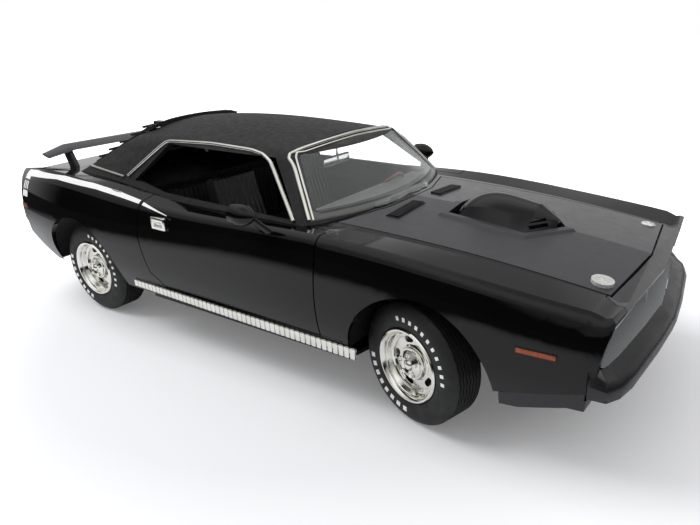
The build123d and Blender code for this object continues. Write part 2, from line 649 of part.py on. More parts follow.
# ---- Side markers, sill trims and door handles -------------------------------------------------------
# Columns: middle x and z, length, height.
MARKERS = ((108.3, 35.0, 9.0, 2.2), (-118.0, 40.6, 8.6, 2.8))
SILL_TRIM = ((55.5, 16.8), (55.5, 20.6), (-47.2, 21.0), (-47.2, 18.4))
HANDLE_X = (-27.6, -20.0)
HANDLE_Z = (43.8, 47.6)
with BuildPart() as side_markers:
    with BuildPart(mode=Mode.PRIVATE) as marker_blocks:
        for x, z, length, height in MARKERS:
            with Locations((x, 0, z)):
                Box(length, 120, height)
        with Locations((0, 0, 40)):
            Box(300, 60, 30, mode=Mode.SUBTRACT)
    add(tail_skin & marker_blocks.part)
    add(skin_gap, mode=Mode.SUBTRACT)
write(side_markers.part, "side_markers")

with BuildPart() as sill_trims:
    add(prism(Plane.XZ, SILL_TRIM, 60, both=True) & tail_skin)
    add(box_from((-60, -30, 0), (70, 30, 30)), mode=Mode.SUBTRACT)
    add(skin_gap, mode=Mode.SUBTRACT)
write(sill_trims.part, "sill_trims")

for side_name, side in SIDES:
    with BuildPart() as handle:
        add(side_block(side, 30, HANDLE_X, HANDLE_Z) & tail_skin)
        add(skin_gap, mode=Mode.SUBTRACT)
    write(handle.part, f"handle_{side_name}")

# ---- Chassis -----------------------------------------------------------------------------------------
PAN_Z = (11.6, 13.0)
PAN_HALF = ((114.0, 24.0), (52.0, 24.0), (48.0, 43.0), (-46.0, 43.0), (-51.0, 29.0))
BOSS_R = 3.4
SCREW_R = 1.3
BOSS_TOP_Z = 18.0
DISPLAY_SCREW_X = (102.0, -46.0)
FLOOR_HALF = 29.0
FLOOR_THICK = 1.2
FLOOR_LINE = ((-53.4, 13.2), (-57.0, 29.0), (-95.0, 29.0), (-100.0, 21.4), (-125.4, 27.0))
with BuildPart() as chassis_pan:
    with BuildSketch(Plane.XY.offset(PAN_Z[0])):
        with BuildLine():
            Polyline(*PAN_HALF, *[(x, -y) for x, y in reversed(PAN_HALF)], close=True)
        make_face()
    extrude(amount=PAN_Z[1] - PAN_Z[0])
    with BuildSketch(Plane.XY.offset(PAN_Z[0])):
        with Locations((DISPLAY_SCREW_X[0], 0)):
            Circle(BOSS_R)
    extrude(amount=BOSS_TOP_Z - PAN_Z[0])
    with BuildSketch(Plane.XY.offset(PAN_Z[0])):
        with Locations(*[(x, 0) for x in DISPLAY_SCREW_X]):
            Circle(SCREW_R)
    extrude(amount=BOSS_TOP_Z - PAN_Z[0], mode=Mode.SUBTRACT)
write(chassis_pan.part, "chassis_pan")

WELL_R = ARCH_R + WELL_GAP
WELL_INNER_Y = {"front": 26.0, "rear": 30.5}
AXLE_SLOT = (4.0, HUB_Z + 9.6)
well_limit = lower_body(WALL + FIT)
for end, axle_x in (("front", FRONT_AXLE_X), ("rear", REAR_AXLE_X)):
    wall_y = WELL_INNER_Y[end]
    with BuildPart() as wells:
        for _, side in SIDES:
            with BuildSketch(Plane.XZ.offset(-side * wall_y)):
                with Locations((axle_x, HUB_Z)):
                    Circle(WELL_R + WELL_WALL)
            extrude(amount=-side * 26)
            with BuildSketch(Plane.XZ.offset(-side * (wall_y + WELL_WALL))):
                with Locations((axle_x, HUB_Z)):
                    Circle(WELL_R)
            extrude(amount=-side * 26, mode=Mode.SUBTRACT)
        add(box_from((axle_x - 40, -60, HUB_Z), (axle_x + 40, 60, 80)), mode=Mode.INTERSECT)
        slot_half, slot_top = AXLE_SLOT
        add(box_from((axle_x - slot_half, -wall_y - 2, 0), (axle_x + slot_half, wall_y + 2, slot_top)),
            mode=Mode.SUBTRACT)
        add(well_limit, mode=Mode.INTERSECT)
    write(wells.part, f"{end}_wheel_wells")

# ---- Front beam, knuckles and tie rod ----------------------------------------------------------------
KNUCKLE_Z = (HUB_Z - 6.5, HUB_Z + 6.5)
PIN_R = 1.3
PIN_BOSS_R = PIN_R + 0.9
BEAM_Z = (PAN_Z[1] + 0.4, PAN_Z[1] + 3.4)
YOKE_GAP = 0.3
YOKE_THICK = 1.9
YOKE_HALF = 2.5
with BuildPart() as front_beam:
    with Locations((FRONT_AXLE_X, 0, sum(BEAM_Z) / 2)):
        Box(9.0, 2 * KINGPIN_Y - 12.0, BEAM_Z[1] - BEAM_Z[0])
    low_arm = (KNUCKLE_Z[0] - YOKE_GAP - YOKE_THICK, KNUCKLE_Z[0] - YOKE_GAP)
    high_arm = (KNUCKLE_Z[1] + YOKE_GAP, KNUCKLE_Z[1] + YOKE_GAP + YOKE_THICK)
    arm_x = (FRONT_AXLE_X - YOKE_HALF, FRONT_AXLE_X + YOKE_HALF)
    for _, side in SIDES:
        for low, high in (low_arm, high_arm):
            near, far = sorted((side * (KINGPIN_Y - 9.0), side * (KINGPIN_Y + 1.8)))
            add(box_from((arm_x[0], near, low), (arm_x[1], far, high)))
        near, far = sorted((side * (KINGPIN_Y - 9.0), side * (KINGPIN_Y - 6.6)))
        add(box_from((arm_x[0], near, low_arm[0]), (arm_x[1], far, high_arm[1])))
write(front_beam.part, "front_beam")

SPINDLE_R = 1.5
SPINDLE_OUT = 4.0
WHEEL_OFFSET = TRACK_HALF - KINGPIN_Y
ARM_REACH = 9.0
ARM_HALF = 1.2
ARM_Z = (12.8, 14.6)
ROD_GAP = 0.3
ROD_THICK = 1.2
steer_shift = -ARM_REACH * sin(radians(STEER_DEG))


def steered(piece, side):
    """A piece modelled straight ahead, turned with its knuckle into the stored pose."""
    return piece.rotate(Axis((FRONT_AXLE_X, side * KINGPIN_Y, 0), (0, 0, 1)), STEER_DEG)


for side_name, side in SIDES:
    with BuildPart() as knuckle:
        with Locations((FRONT_AXLE_X, side * KINGPIN_Y, HUB_Z)):
            Cylinder(PIN_BOSS_R, KNUCKLE_Z[1] - KNUCKLE_Z[0])
        with BuildSketch(Plane.XZ.offset(-side * KINGPIN_Y)):
            with Locations((FRONT_AXLE_X, HUB_Z)):
                Circle(SPINDLE_R)
        extrude(amount=-side * (WHEEL_OFFSET + SPINDLE_OUT))
        near, far = sorted((side * (KINGPIN_Y - ARM_HALF), side * (KINGPIN_Y + ARM_HALF)))
        add(box_from((FRONT_AXLE_X - ARM_REACH - ARM_HALF, near, ARM_Z[0]), (FRONT_AXLE_X, far, ARM_Z[1])))
    write(steered(knuckle.part, side), f"knuckle_{side_name}")

with BuildPart() as tie_rod:
    with Locations((FRONT_AXLE_X - ARM_REACH, steer_shift, ARM_Z[1] + ROD_GAP + ROD_THICK / 2)):
        Box(2 * ARM_HALF, 2 * KINGPIN_Y + 2 * ARM_HALF, ROD_THICK)
    fillet(tie_rod.edges().filter_by(Axis.Z), ARM_HALF - 0.1)
write(tie_rod.part, "tie_rod")

# ---- Rear axle and leaf springs ----------------------------------------------------------------------
AXLE_TUBE_R = 2.4
AXLE_TUBE_HALF = 28.0
DIFF_R = 5.0
SPRING_Y = 23.0
SPRING_WIDTH = 3.0
SPRING_THICK = 1.0
SPRING_GAP = 0.3
with BuildPart() as rear_axle:
    with BuildSketch(Plane.XZ.offset(-TRACK_HALF - SPINDLE_OUT)):
        with Locations((REAR_AXLE_X, HUB_Z)):
            Circle(SPINDLE_R)
    extrude(amount=2 * (TRACK_HALF + SPINDLE_OUT))
    with BuildSketch(Plane.XZ.offset(-AXLE_TUBE_HALF)):
        with Locations((REAR_AXLE_X, HUB_Z)):
            Circle(AXLE_TUBE_R)
    extrude(amount=2 * AXLE_TUBE_HALF)
    with Locations((REAR_AXLE_X, 0, HUB_Z)):
        Sphere(DIFF_R)
write(rear_axle.part, "rear_axle")

spring_low = HUB_Z - AXLE_TUBE_R - SPRING_GAP - SPRING_THICK
spring_front = (FLOOR_LINE[0][0] - 1.3, spring_low + 2.4)
spring_rear = (FLOOR_LINE[3][0] + 0.6, FLOOR_LINE[3][1] - SPRING_THICK - SPRING_GAP)
with BuildPart() as leaf_springs:
    for _, side in SIDES:
        with BuildSketch(Plane.XZ.offset(-side * SPRING_Y)):
            with BuildLine():
                under = ThreePointArc(spring_front, (REAR_AXLE_X, spring_low), spring_rear)
                Line(under @ 1, (spring_rear[0], spring_rear[1] + SPRING_THICK))
                over = ThreePointArc(
                    (spring_rear[0], spring_rear[1] + SPRING_THICK),
                    (REAR_AXLE_X, spring_low + SPRING_THICK),
                    (spring_front[0], spring_front[1] + SPRING_THICK),
                )
                Line(over @ 1, spring_front)
            make_face()
        extrude(amount=SPRING_WIDTH / 2, both=True)
write(leaf_springs.part, "leaf_springs")

# ---- Wheels ------------------------------------------------------------------------------------------
SPINDLE_GAP = 0.15
RIM_WALL = 1.1
RIM_LIP = 0.6
HUB_CAP_R = 4.0
DISC_IN = 3.4
DISC_THICK = 1.0
SLOT_COUNT = 5
SLOT_PLACE_R = 6.9
SLOT_SIZE = (3.4, 1.9)


def rim_part():
    """A chrome rally rim about the Y axis, its face towards +Y, centred on the tyre."""
    half = TYRE_WIDTH / 2
    face_y = half - DISC_IN
    with BuildPart(mode=Mode.PRIVATE) as rim:
        with BuildSketch(Plane.XY):
            with BuildLine():
                Polyline(
                    (SPINDLE_R + SPINDLE_GAP, half - 6.0),
                    (SPINDLE_R + SPINDLE_GAP, half - 0.9),
                    (HUB_CAP_R - 1.6, half - 0.6),
                    (HUB_CAP_R, half - 1.6),
                    (HUB_CAP_R + 0.3, face_y + 0.4),
                    (HUB_CAP_R + 1.4, face_y),
                    (RIM_R - 2.6, face_y),
                    (RIM_R - 1.7, half - 1.4),
                    (RIM_R - RIM_LIP, half),
                    (RIM_R - 0.05, half - 0.5),
                    (RIM_R - 0.05, -half + 0.4),
                    (RIM_R - RIM_WALL, -half + 0.4),
                    (RIM_R - RIM_WALL - 0.6, face_y - DISC_THICK),
                    (HUB_CAP_R, face_y - DISC_THICK),
                    (HUB_CAP_R - 0.6, half - 6.0),
                    close=True,
                )
            make_face()
        revolve(axis=Axis.Y)
        with BuildSketch(Plane.XZ):
            with PolarLocations(SLOT_PLACE_R, SLOT_COUNT):
                SlotOverall(*SLOT_SIZE, rotation=90)
        extrude(amount=20, both=True, mode=Mode.SUBTRACT)
    return rim.part


def tyre_part():
    """A tyre about the Y axis, centred on its own width."""
    half = TYRE_WIDTH / 2
    with BuildPart(mode=Mode.PRIVATE) as tyre:
        with BuildSketch(Plane.XY):
            with BuildLine():
                bead = Polyline((RIM_R, 0), (RIM_R, half - 0.7))
                wall = ThreePointArc(bead @ 1, (RIM_R + 3.4, half), (TYRE_R - 1.7, half - 0.8))
                edge = TangentArc(wall @ 1, (TYRE_R, half - 2.4), tangent=wall % 1)
                Line(edge @ 1, (TYRE_R, 0))
                mirror(about=Plane.XZ)
            make_face()
        revolve(axis=Axis.Y)
    return tyre.part


models = (("rim", rim_part()), ("tyre", tyre_part()))
for end, axle_x in (("front", FRONT_AXLE_X), ("rear", REAR_AXLE_X)):
    for side_name, side in SIDES:
        for kind, model in models:
            piece = model if side > 0 else model.rotate(Axis.Z, 180)
            piece = Pos(axle_x, side * TRACK_HALF, HUB_Z) * piece
            if end == "front":
                piece = steered(piece, side)
            write(piece, f"{kind}_{end}_{side_name}")

# ---- Engine bay and scoop ----------------------------------------------------------------------------
ENGINE_X = (56.0, 96.0)
ENGINE_HALF = 13.0
ENGINE_TOP_Z = 42.0
SCOOP_BASE_Z = ENGINE_TOP_Z + 0.2
SCOOP_FOOT_Z = 50.2
# Columns: station x, foot half width, shoulder half width and height, crown height.
SCOOP_SECTIONS = (
    (65.6, 8.6, 5.6, 52.2, 53.4),
    (71.0, 10.6, 7.6, 54.6, 57.0),
    (80.0, 11.4, 7.8, 54.8, 57.6),
    (90.0, 11.8, 6.4, 53.4, 56.0),
    (96.0, 2.0, 1.2, 51.4, 52.2),
)
INTAKE_Z = (51.3, 52.7)
INTAKE_SIZE = (6.8, 3.0, 0.9)
INTAKE_DEPTH = 0.7
with BuildPart() as engine_block:
    add(box_from((ENGINE_X[0], -ENGINE_HALF, BEAM_Z[1] + 0.2), (ENGINE_X[1], ENGINE_HALF, ENGINE_TOP_Z)))
    chamfer(engine_block.edges().filter_by(Axis.X), 2.0)
write(engine_block.part, "engine_block")



def scoop_face(x, foot_y, edge_y, edge_z, crown_z):
    """One half section of the scoop's dome, standing on the middle plane."""
    with BuildSketch(Plane.YZ.offset(x)) as section:
        with BuildLine():
            Polyline((0, SCOOP_FOOT_Z), (foot_y, SCOOP_FOOT_Z), (edge_y, edge_z))
            TangentArc((0, crown_z), (edge_y, edge_z), tangent=(1, 0))
            Line((0, crown_z), (0, SCOOP_FOOT_Z))
        make_face()
    return section.sketch.face()


dome = [scoop_face(*section) for section in SCOOP_SECTIONS]
corner, tip = SCOOP_SECTIONS[-2:]
face_turn = degrees(atan2(tip[1] - corner[1], tip[0] - corner[0]))
with BuildPart() as scoop:
    loft(dome[:-1])
    loft(dome[-2:], ruled=True)
    plan = [(x, foot_y) for x, foot_y, *_ in SCOOP_SECTIONS]
    with BuildSketch(Plane.XY.offset(SCOOP_BASE_Z)):
        with BuildLine():
            Polyline((plan[0][0], 0), *plan, (plan[-1][0], 0), close=True)
        make_face()
    extrude(amount=SCOOP_FOOT_Z - SCOOP_BASE_Z)
    mirror(about=Plane.XZ)
    for _, side in SIDES:
        for z in INTAKE_Z:
            middle = ((corner[0] + tip[0]) / 2 - INTAKE_DEPTH, side * (corner[1] + tip[1]) / 2, z)
            with Locations(Location(middle, (0, 0, side * face_turn))):
                Box(*INTAKE_SIZE, mode=Mode.SUBTRACT)
write(scoop.part, "scoop")

# ---- Interior ----------------------------------------------------------------------------------------
TUB_FLOOR_Z = (PAN_Z[1] + FIT, PAN_Z[1] + FIT + 1.3)
TUB_X = (-52.8, 42.6)
TUB_HALF = 40.6
TUB_WALL = 1.3
CONSOLE = ((-22.0, 19.4), (2.0, 20.4), (26.0, 19.6), (40.0, 22.0))
with BuildPart() as interior_tub:
    add(box_from((TUB_X[0], -TUB_HALF, TUB_FLOOR_Z[0]), (TUB_X[1], TUB_HALF, TUB_FLOOR_Z[1])))
    for _, side in SIDES:
        near, far = sorted((side * (TUB_HALF - TUB_WALL), side * TUB_HALF))
        add(box_from((TUB_X[0] + 2, near, TUB_FLOOR_Z[1]), (TUB_X[1], far, 19.0)))
    add(box_from((TUB_X[1] - TUB_WALL, -39.0, TUB_FLOOR_Z[1]), (TUB_X[1], 39.0, 44.0)))
    add(box_from((TUB_X[0], -30.0, TUB_FLOOR_Z[1]), (TUB_X[0] + TUB_WALL, 30.0, 50.0)))
    with BuildSketch(Plane.XZ):
        with BuildLine():
            Polyline(*CONSOLE, (CONSOLE[-1][0], TUB_FLOOR_Z[1]), (CONSOLE[0][0], TUB_FLOOR_Z[1]), close=True)
        make_face()
    extrude(amount=4.5, both=True)
    with Locations(Location((10.0, 0, 23.0), (0, -12, 0))):
        Cylinder(0.6, 8.0)
write(interior_tub.part, "interior_tub")

SHELF_Z = (50.0, 51.0)
with BuildPart() as package_shelf:
    add(box_from((-92.0, -30.0, SHELF_Z[0]), (TUB_X[0], 30.0, SHELF_Z[1])))
write(package_shelf.part, "package_shelf")

WHEEL_TILT = 62.0
WHEEL_PLACE = (18.5, 20.0, 47.0)
WHEEL_R = 9.0
COLUMN_LENGTH = 10.0
with BuildPart() as steering_wheel:
    with BuildSketch(Plane.XZ):
        with Locations((WHEEL_R, 0)):
            Circle(0.9)
    revolve(axis=Axis.Z)
    Cylinder(2.2, 1.6)
    with PolarLocations(0, 3):
        with Locations((WHEEL_R / 2, 0, 0)):
            Box(WHEEL_R, 1.6, 0.7)
    with Locations((0, 0, -COLUMN_LENGTH / 2 - 0.4)):
        Cylinder(1.0, COLUMN_LENGTH)
steering = Pos(*WHEEL_PLACE) * Rot(0, -WHEEL_TILT, 0) * steering_wheel.part
write(steering, "steering_wheel")

DASH_HALF = 37.0
DASH_LINE = ((40.8, 40.0), (40.8, 47.6), (34.0, 48.6), (27.0, 47.4), (26.0, 44.6), (30.0, 38.0))
with BuildPart() as dashboard:
    add(prism(Plane.XZ, DASH_LINE, DASH_HALF, both=True))
    with Locations(Pos(*WHEEL_PLACE) * Rot(0, -WHEEL_TILT, 0)):
        with Locations((0, 0, -COLUMN_LENGTH / 2 - 0.4)):
            Cylinder(1.0 + FIT, COLUMN_LENGTH + 0.6, mode=Mode.SUBTRACT)
write(dashboard.part, "dashboard")

SEAT_Y = 20.0
SEAT_WIDTH = 20.0
SEAT_FOOT = TUB_FLOOR_Z[1] + 0.2
for side_name, side in SIDES:
    with BuildPart() as seat:
        seat_line = (
            (11.0, SEAT_FOOT), (12.0, 25.6), (9.0, 28.0), (-10.0, 26.0), (-17.4, 50.0), (-19.0, 57.0),
            (-22.0, 57.4), (-23.0, 55.0), (-19.8, 40.0), (-15.0, 22.0), (-13.0, SEAT_FOOT),
        )
        add(prism(Plane.XZ.offset(-side * SEAT_Y), seat_line, SEAT_WIDTH / 2, both=True))
    write(seat.part, f"seat_{side_name}")

BENCH_HALF = 28.0
with BuildPart() as rear_bench:
    bench_line = (
        (-24.6, SEAT_FOOT), (-24.0, 27.0), (-27.0, 29.0), (-43.0, 27.4), (-47.0, 49.4), (-51.2, 49.6),
        (-51.2, SEAT_FOOT),
    )
    add(prism(Plane.XZ, bench_line, BENCH_HALF, both=True))
write(rear_bench.part, "rear_bench")

# ---- Door mirrors ------------------------------------------------------------------------------------
POD_PLACE = (19.0, 53.2, 56.4)
POD_R = 3.3
POD_LENGTH = 8.6
for side_name, side in SIDES:
    with BuildPart() as mirror_pod:
        with BuildSketch(Plane.XY):
            with BuildLine():
                tip = (POD_LENGTH * 0.6, 0)
                rear_x = -POD_LENGTH * 0.4
                nose_arc = ThreePointArc(tip, (POD_LENGTH * 0.22, POD_R * 0.86), (rear_x / 2, POD_R))
                Polyline(nose_arc @ 1, (rear_x, POD_R * 0.94), (rear_x, 0), tip)
            make_face()
        revolve(axis=Axis.X)
    pod = Pos(POD_PLACE[0], side * POD_PLACE[1], POD_PLACE[2]) * mirror_pod.part
    with BuildPart() as mirror:
        add(pod)
        with BuildSketch(Plane.XY.offset(48)):
            with Locations((24.6, side * 45.6)):
                Ellipse(2.6, 1.5)
        with BuildSketch(Plane.XY.offset(55.4)):
            with Locations((20.4, side * 51.6)):
                Ellipse(1.6, 1.1)
        loft()
        add(outer, mode=Mode.SUBTRACT)
    write(largest(mirror), f"mirror_{side_name}")

# ---- Boot floor and exhaust --------------------------------------------------------------------------
with BuildPart() as boot_floor:
    raised = [(x, z + FLOOR_THICK) for x, z in reversed(FLOOR_LINE)]
    add(prism(Plane.XZ, (*FLOOR_LINE, *raised), FLOOR_HALF, both=True))
write(boot_floor.part, "boot_floor")

PIPE_R = 1.1
# Columns: x, half width, z along each pipe from the engine to its tip.
EXHAUST_ROUTE = (
    (54.0, 9.0, PAN_Z[0] - PIPE_R - 0.2),
    (-54.6, 9.0, PAN_Z[0] - PIPE_R - 0.2),
    (-60.0, 14.0, 15.5),
    (-71.0, 14.0, 15.5),
    (-73.5, 15.0, 24.8),
    (-86.0, 17.0, 24.8),
    (-97.0, 18.0, 18.4),
    (-124.0, 18.0, 20.4),
)
MUFFLER_X = (-70.0, -57.0)
MUFFLER_SIZE = (4.6, 2.3)
with BuildPart() as exhaust:
    for _, side in SIDES:
        with BuildLine() as route:
            Polyline(*[(x, side * y, z) for x, y, z in EXHAUST_ROUTE])
        with BuildSketch(Plane(route.line @ 0, z_dir=route.line % 0)):
            Circle(PIPE_R)
        sweep(path=route.line, transition=Transition.RIGHT)
        with BuildSketch(Plane.YZ.offset(MUFFLER_X[0])):
            with Locations((side * 14.0, 15.5)):
                Ellipse(*MUFFLER_SIZE)
        extrude(amount=MUFFLER_X[1] - MUFFLER_X[0])
write(exhaust.part, "exhaust")
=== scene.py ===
import json
import math
import bpy
from mathutils import Matrix, Vector


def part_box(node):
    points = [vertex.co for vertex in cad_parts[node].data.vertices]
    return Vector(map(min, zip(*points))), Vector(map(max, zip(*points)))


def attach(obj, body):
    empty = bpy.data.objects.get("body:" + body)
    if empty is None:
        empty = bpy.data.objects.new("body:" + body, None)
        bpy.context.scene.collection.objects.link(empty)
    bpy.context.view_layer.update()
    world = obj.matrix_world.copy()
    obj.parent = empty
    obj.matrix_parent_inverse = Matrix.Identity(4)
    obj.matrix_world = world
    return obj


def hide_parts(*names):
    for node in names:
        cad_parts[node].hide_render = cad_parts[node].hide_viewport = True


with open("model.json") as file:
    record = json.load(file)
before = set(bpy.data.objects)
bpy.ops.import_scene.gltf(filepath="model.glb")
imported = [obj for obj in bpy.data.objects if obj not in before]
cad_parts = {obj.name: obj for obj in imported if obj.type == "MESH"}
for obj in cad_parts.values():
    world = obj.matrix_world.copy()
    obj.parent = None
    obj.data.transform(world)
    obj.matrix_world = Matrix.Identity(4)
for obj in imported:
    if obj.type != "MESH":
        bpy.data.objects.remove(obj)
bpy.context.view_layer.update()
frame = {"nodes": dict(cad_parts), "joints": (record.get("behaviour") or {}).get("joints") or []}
MM = 0.001

# ---- Camera ----------------------------------------------------
# A 31 mm lens, a little above and ahead of the model's right front corner, leaning slightly.
# It is shifted so that the lens axis need not pass the middle of the frame.
FRAME_WIDTH, FRAME_HEIGHT, SENSOR_WIDTH = 700, 525, 36
LENS_PIXELS = 598.6
LENS_CENTRE = (381.8, 275.8)
CAMERA_TURN, CAMERA_RISE, CAMERA_LEAN = (math.radians(a) for a in (34.052, 22.604, 1.59))
CAMERA_TARGET = Vector((31.79, 0, 20.61)) * MM
CAMERA_DISTANCE = 223.1 * MM

camera_data = bpy.data.cameras.new("camera")
camera_data.sensor_width = SENSOR_WIDTH
camera_data.lens = SENSOR_WIDTH * LENS_PIXELS / FRAME_WIDTH
camera_data.shift_x = (FRAME_WIDTH / 2 - LENS_CENTRE[0]) / FRAME_WIDTH
camera_data.shift_y = (LENS_CENTRE[1] - FRAME_HEIGHT / 2) / FRAME_WIDTH
camera_data.clip_start = MM
camera = bpy.data.objects.new("camera", camera_data)
bpy.context.scene.collection.objects.link(camera)
back = Vector((math.sin(CAMERA_TURN) * math.cos(CAMERA_RISE),
               -math.cos(CAMERA_TURN) * math.cos(CAMERA_RISE),
               math.sin(CAMERA_RISE)))
level = Vector((0, 0, 1)).cross(back).normalized()
upright = back.cross(level)
right = math.cos(CAMERA_LEAN) * level - math.sin(CAMERA_LEAN) * upright
up = math.sin(CAMERA_LEAN) * level + math.cos(CAMERA_LEAN) * upright
turn = Matrix((right, up, back)).transposed().to_4x4()
camera.matrix_world = Matrix.Translation(CAMERA_TARGET + back * CAMERA_DISTANCE) @ turn
bpy.context.scene.camera = camera
bpy.context.scene.view_settings.view_transform = "Standard"


# ---- Table and studio ------------------------------------------
# A matt white card under a white tent, with one wide soft lamp high above the model's tail. Gloss paint
# and chrome mirror the tent, which is black at its skirt and brighter higher up.
def linear(hex_colour):
    """An sRGB hex colour as the linear colour that Blender's sockets take."""
    levels = [int(hex_colour[i:i + 2], 16) / 255 for i in (1, 3, 5)]
    return [v / 12.92 if v <= 0.04045 else ((v + 0.055) / 1.055) ** 2.4 for v in levels] + [1.0]


def add_node(tree, kind, inputs=None, **settings):
    """Adds one node with its settings; an input is a value or another node's output."""
    node = tree.nodes.new("ShaderNode" + kind)
    for name, value in settings.items():
        setattr(node, name, value)
    for name, value in (inputs or {}).items():
        if isinstance(value, bpy.types.NodeSocket):
            tree.links.new(value, node.inputs[name])
        else:
            node.inputs[name].default_value = value
    return node


TENT_WHITE = linear("#FFFFFF")
TENT_FILL = 0.5
# What gloss paint and chrome mirror, from the table's level up: (rise above level in degrees, strength).
TENT_MIRROR = ((0, 0.006), (13, 0.006), (17, 0.30), (33, 0.42), (46, 0.85), (66, 0.95), (79, 0.62),
               (90, 0.55))
# Behind the model, as seen from its front right corner, a pale screen closes the tent down to the table.
SCREEN_WAY = (-0.56, 0.83, 0.0)
SCREEN_MIRROR, SCREEN_EDGE_WAY, SCREEN_FULL_WAY = 0.75, 0.1, 0.5
SCREEN_LOW_RISE, SCREEN_HIGH_RISE = 14, 22
world = bpy.data.worlds.new("white_tent")
bpy.context.scene.world = world
world.use_nodes = True
sky = world.node_tree
ray = add_node(sky, "LightPath")
heading = add_node(sky, "TexCoord")
rise = add_node(sky, "SeparateXYZ", {0: heading.outputs["Generated"]})
mirror_ramp = add_node(sky, "ValToRGB", {0: rise.outputs["Z"]})
stops = mirror_ramp.color_ramp.elements
stops[0].position, stops[1].position = 0.0, 1.0
for degrees, _ in TENT_MIRROR[1:-1]:
    stops.new(math.sin(math.radians(degrees)))
for stop, (_, strength) in zip(stops, TENT_MIRROR):
    stop.color = (strength, strength, strength, 1.0)
way = add_node(sky, "VectorMath", {0: heading.outputs["Generated"], 1: SCREEN_WAY},
               operation="DOT_PRODUCT")
way = add_node(sky, "MapRange",
               {0: way.outputs["Value"], 1: SCREEN_EDGE_WAY, 2: SCREEN_FULL_WAY, 3: 0.0, 4: 1.0})
low = add_node(sky, "MapRange", {0: rise.outputs["Z"], 1: math.sin(math.radians(SCREEN_LOW_RISE)),
                                 2: math.sin(math.radians(SCREEN_HIGH_RISE)), 3: 1.0, 4: 0.0})
screened = add_node(sky, "Math", {0: way.outputs[0], 1: low.outputs[0]}, operation="MULTIPLY")
mirror = add_node(sky, "Mix", {0: screened.outputs[0], 6: mirror_ramp.outputs["Color"],
                               7: [SCREEN_MIRROR] * 3 + [1.0]}, data_type="RGBA")
fill = sky.nodes["Background"]
fill.inputs["Color"].default_value = TENT_WHITE
fill.inputs["Strength"].default_value = TENT_FILL
mirrored = add_node(sky, "Background", {"Color": mirror.outputs[2], "Strength": 1.0})
backdrop = add_node(sky, "Background", {"Color": TENT_WHITE, "Strength": 1.0})
tent = add_node(sky, "MixShader",
                {0: ray.outputs["Is Glossy Ray"], 1: fill.outputs[0], 2: mirrored.outputs[0]})
seen = add_node(sky, "Math",
                {0: ray.outputs["Is Camera Ray"], 1: ray.outputs["Is Transmission Ray"]}, operation="MAXIMUM")
tent = add_node(sky, "MixShader", {0: seen.outputs[0], 1: tent.outputs[0], 2: backdrop.outputs[0]})
sky.links.new(tent.outputs[0], sky.nodes["World Output"].inputs["Surface"])

LAMP_PLACE = Vector((-0.70, -0.20, 0.90))
lamp_data = bpy.data.lights.new("soft_lamp", "AREA")
lamp_data.size = 0.7
lamp_data.energy = 8.5
lamp = bpy.data.objects.new("soft_lamp", lamp_data)
lamp.location = LAMP_PLACE
lamp.rotation_euler = LAMP_PLACE.to_track_quat("Z", "Y").to_euler()
bpy.context.scene.collection.objects.link(lamp)
lamp.visible_glossy = False

# Seen directly or through glass the card glows, a painted light: faintly near the model, which lightens its
# shadow there, and up to the white of the tent away from it, so no horizon shows.
CARD_LIFT, TENT_LIFT = 0.12, 0.80
LIFT_START, LIFT_END = 0.10, 0.24
# Gloss paint mirrors only the near card; farther out it is dark, as the room beyond a tent's skirt is.
MIRROR_START, MIRROR_END = 0.18, 0.34
CARD_WHITE, CARD_FAR = "#F2F3F6", "#1A1A1C"
bpy.ops.object.select_all(action="DESELECT")
bpy.ops.mesh.primitive_plane_add(size=8.0)
table = bpy.context.object
table.name = "table"
card = bpy.data.materials.new("matt_white_card")
card.use_nodes = True
card_tree = card.node_tree
card_shader = card_tree.nodes["Principled BSDF"]
card_shader.inputs["Roughness"].default_value = 0.9
card_shader.inputs["Specular IOR Level"].default_value = 0.1
card_shader.inputs["Emission Color"].default_value = TENT_WHITE
card_ray = add_node(card_tree, "LightPath")
card_place = add_node(card_tree, "TexCoord")
reach = add_node(card_tree, "VectorMath", {0: card_place.outputs["Object"]}, operation="LENGTH")
lift = add_node(card_tree, "MapRange", {0: reach.outputs["Value"], 1: LIFT_START, 2: LIFT_END,
                                        3: CARD_LIFT, 4: TENT_LIFT})
direct = add_node(card_tree, "Math", {0: card_ray.outputs["Is Camera Ray"],
                                      1: card_ray.outputs["Is Transmission Ray"]},
                  operation="MAXIMUM")
lift = add_node(card_tree, "Math", {0: direct.outputs[0], 1: lift.outputs[0]}, operation="MULTIPLY")
card_tree.links.new(lift.outputs[0], card_shader.inputs["Emission Strength"])
far = add_node(card_tree, "MapRange", {0: reach.outputs["Value"], 1: MIRROR_START, 2: MIRROR_END},
               interpolation_type="SMOOTHSTEP")
bounced = add_node(card_tree, "Math", {0: card_ray.outputs["Is Glossy Ray"],
                                       1: card_ray.outputs["Is Transmission Ray"]},
                   operation="SUBTRACT", use_clamp=True)
far = add_node(card_tree, "Math", {0: bounced.outputs[0], 1: far.outputs[0]}, operation="MULTIPLY")
shade = add_node(card_tree, "Mix",
                 {0: far.outputs[0], 6: linear(CARD_WHITE), 7: linear(CARD_FAR)}, data_type="RGBA")
card_tree.links.new(shade.outputs[2], card_shader.inputs["Base Color"])
table.data.materials.append(card)

# ---- Painted panels --------------------------------------------
# Body, doors, boot lid and door mirrors are die-cast zinc and plastic in sprayed gloss black enamel.
# Polishing leaves a faint orange peel, over a millimetre across, so reflections waver a little.
NOISE_LOW, NOISE_HIGH = 0.3, 0.7  # soft noise seldom leaves these values


def piece_place(material):
    """The object coordinates, in metres, that a material's patterns read."""
    return material.node_tree.nodes["Texture Coordinate"].outputs["Object"]


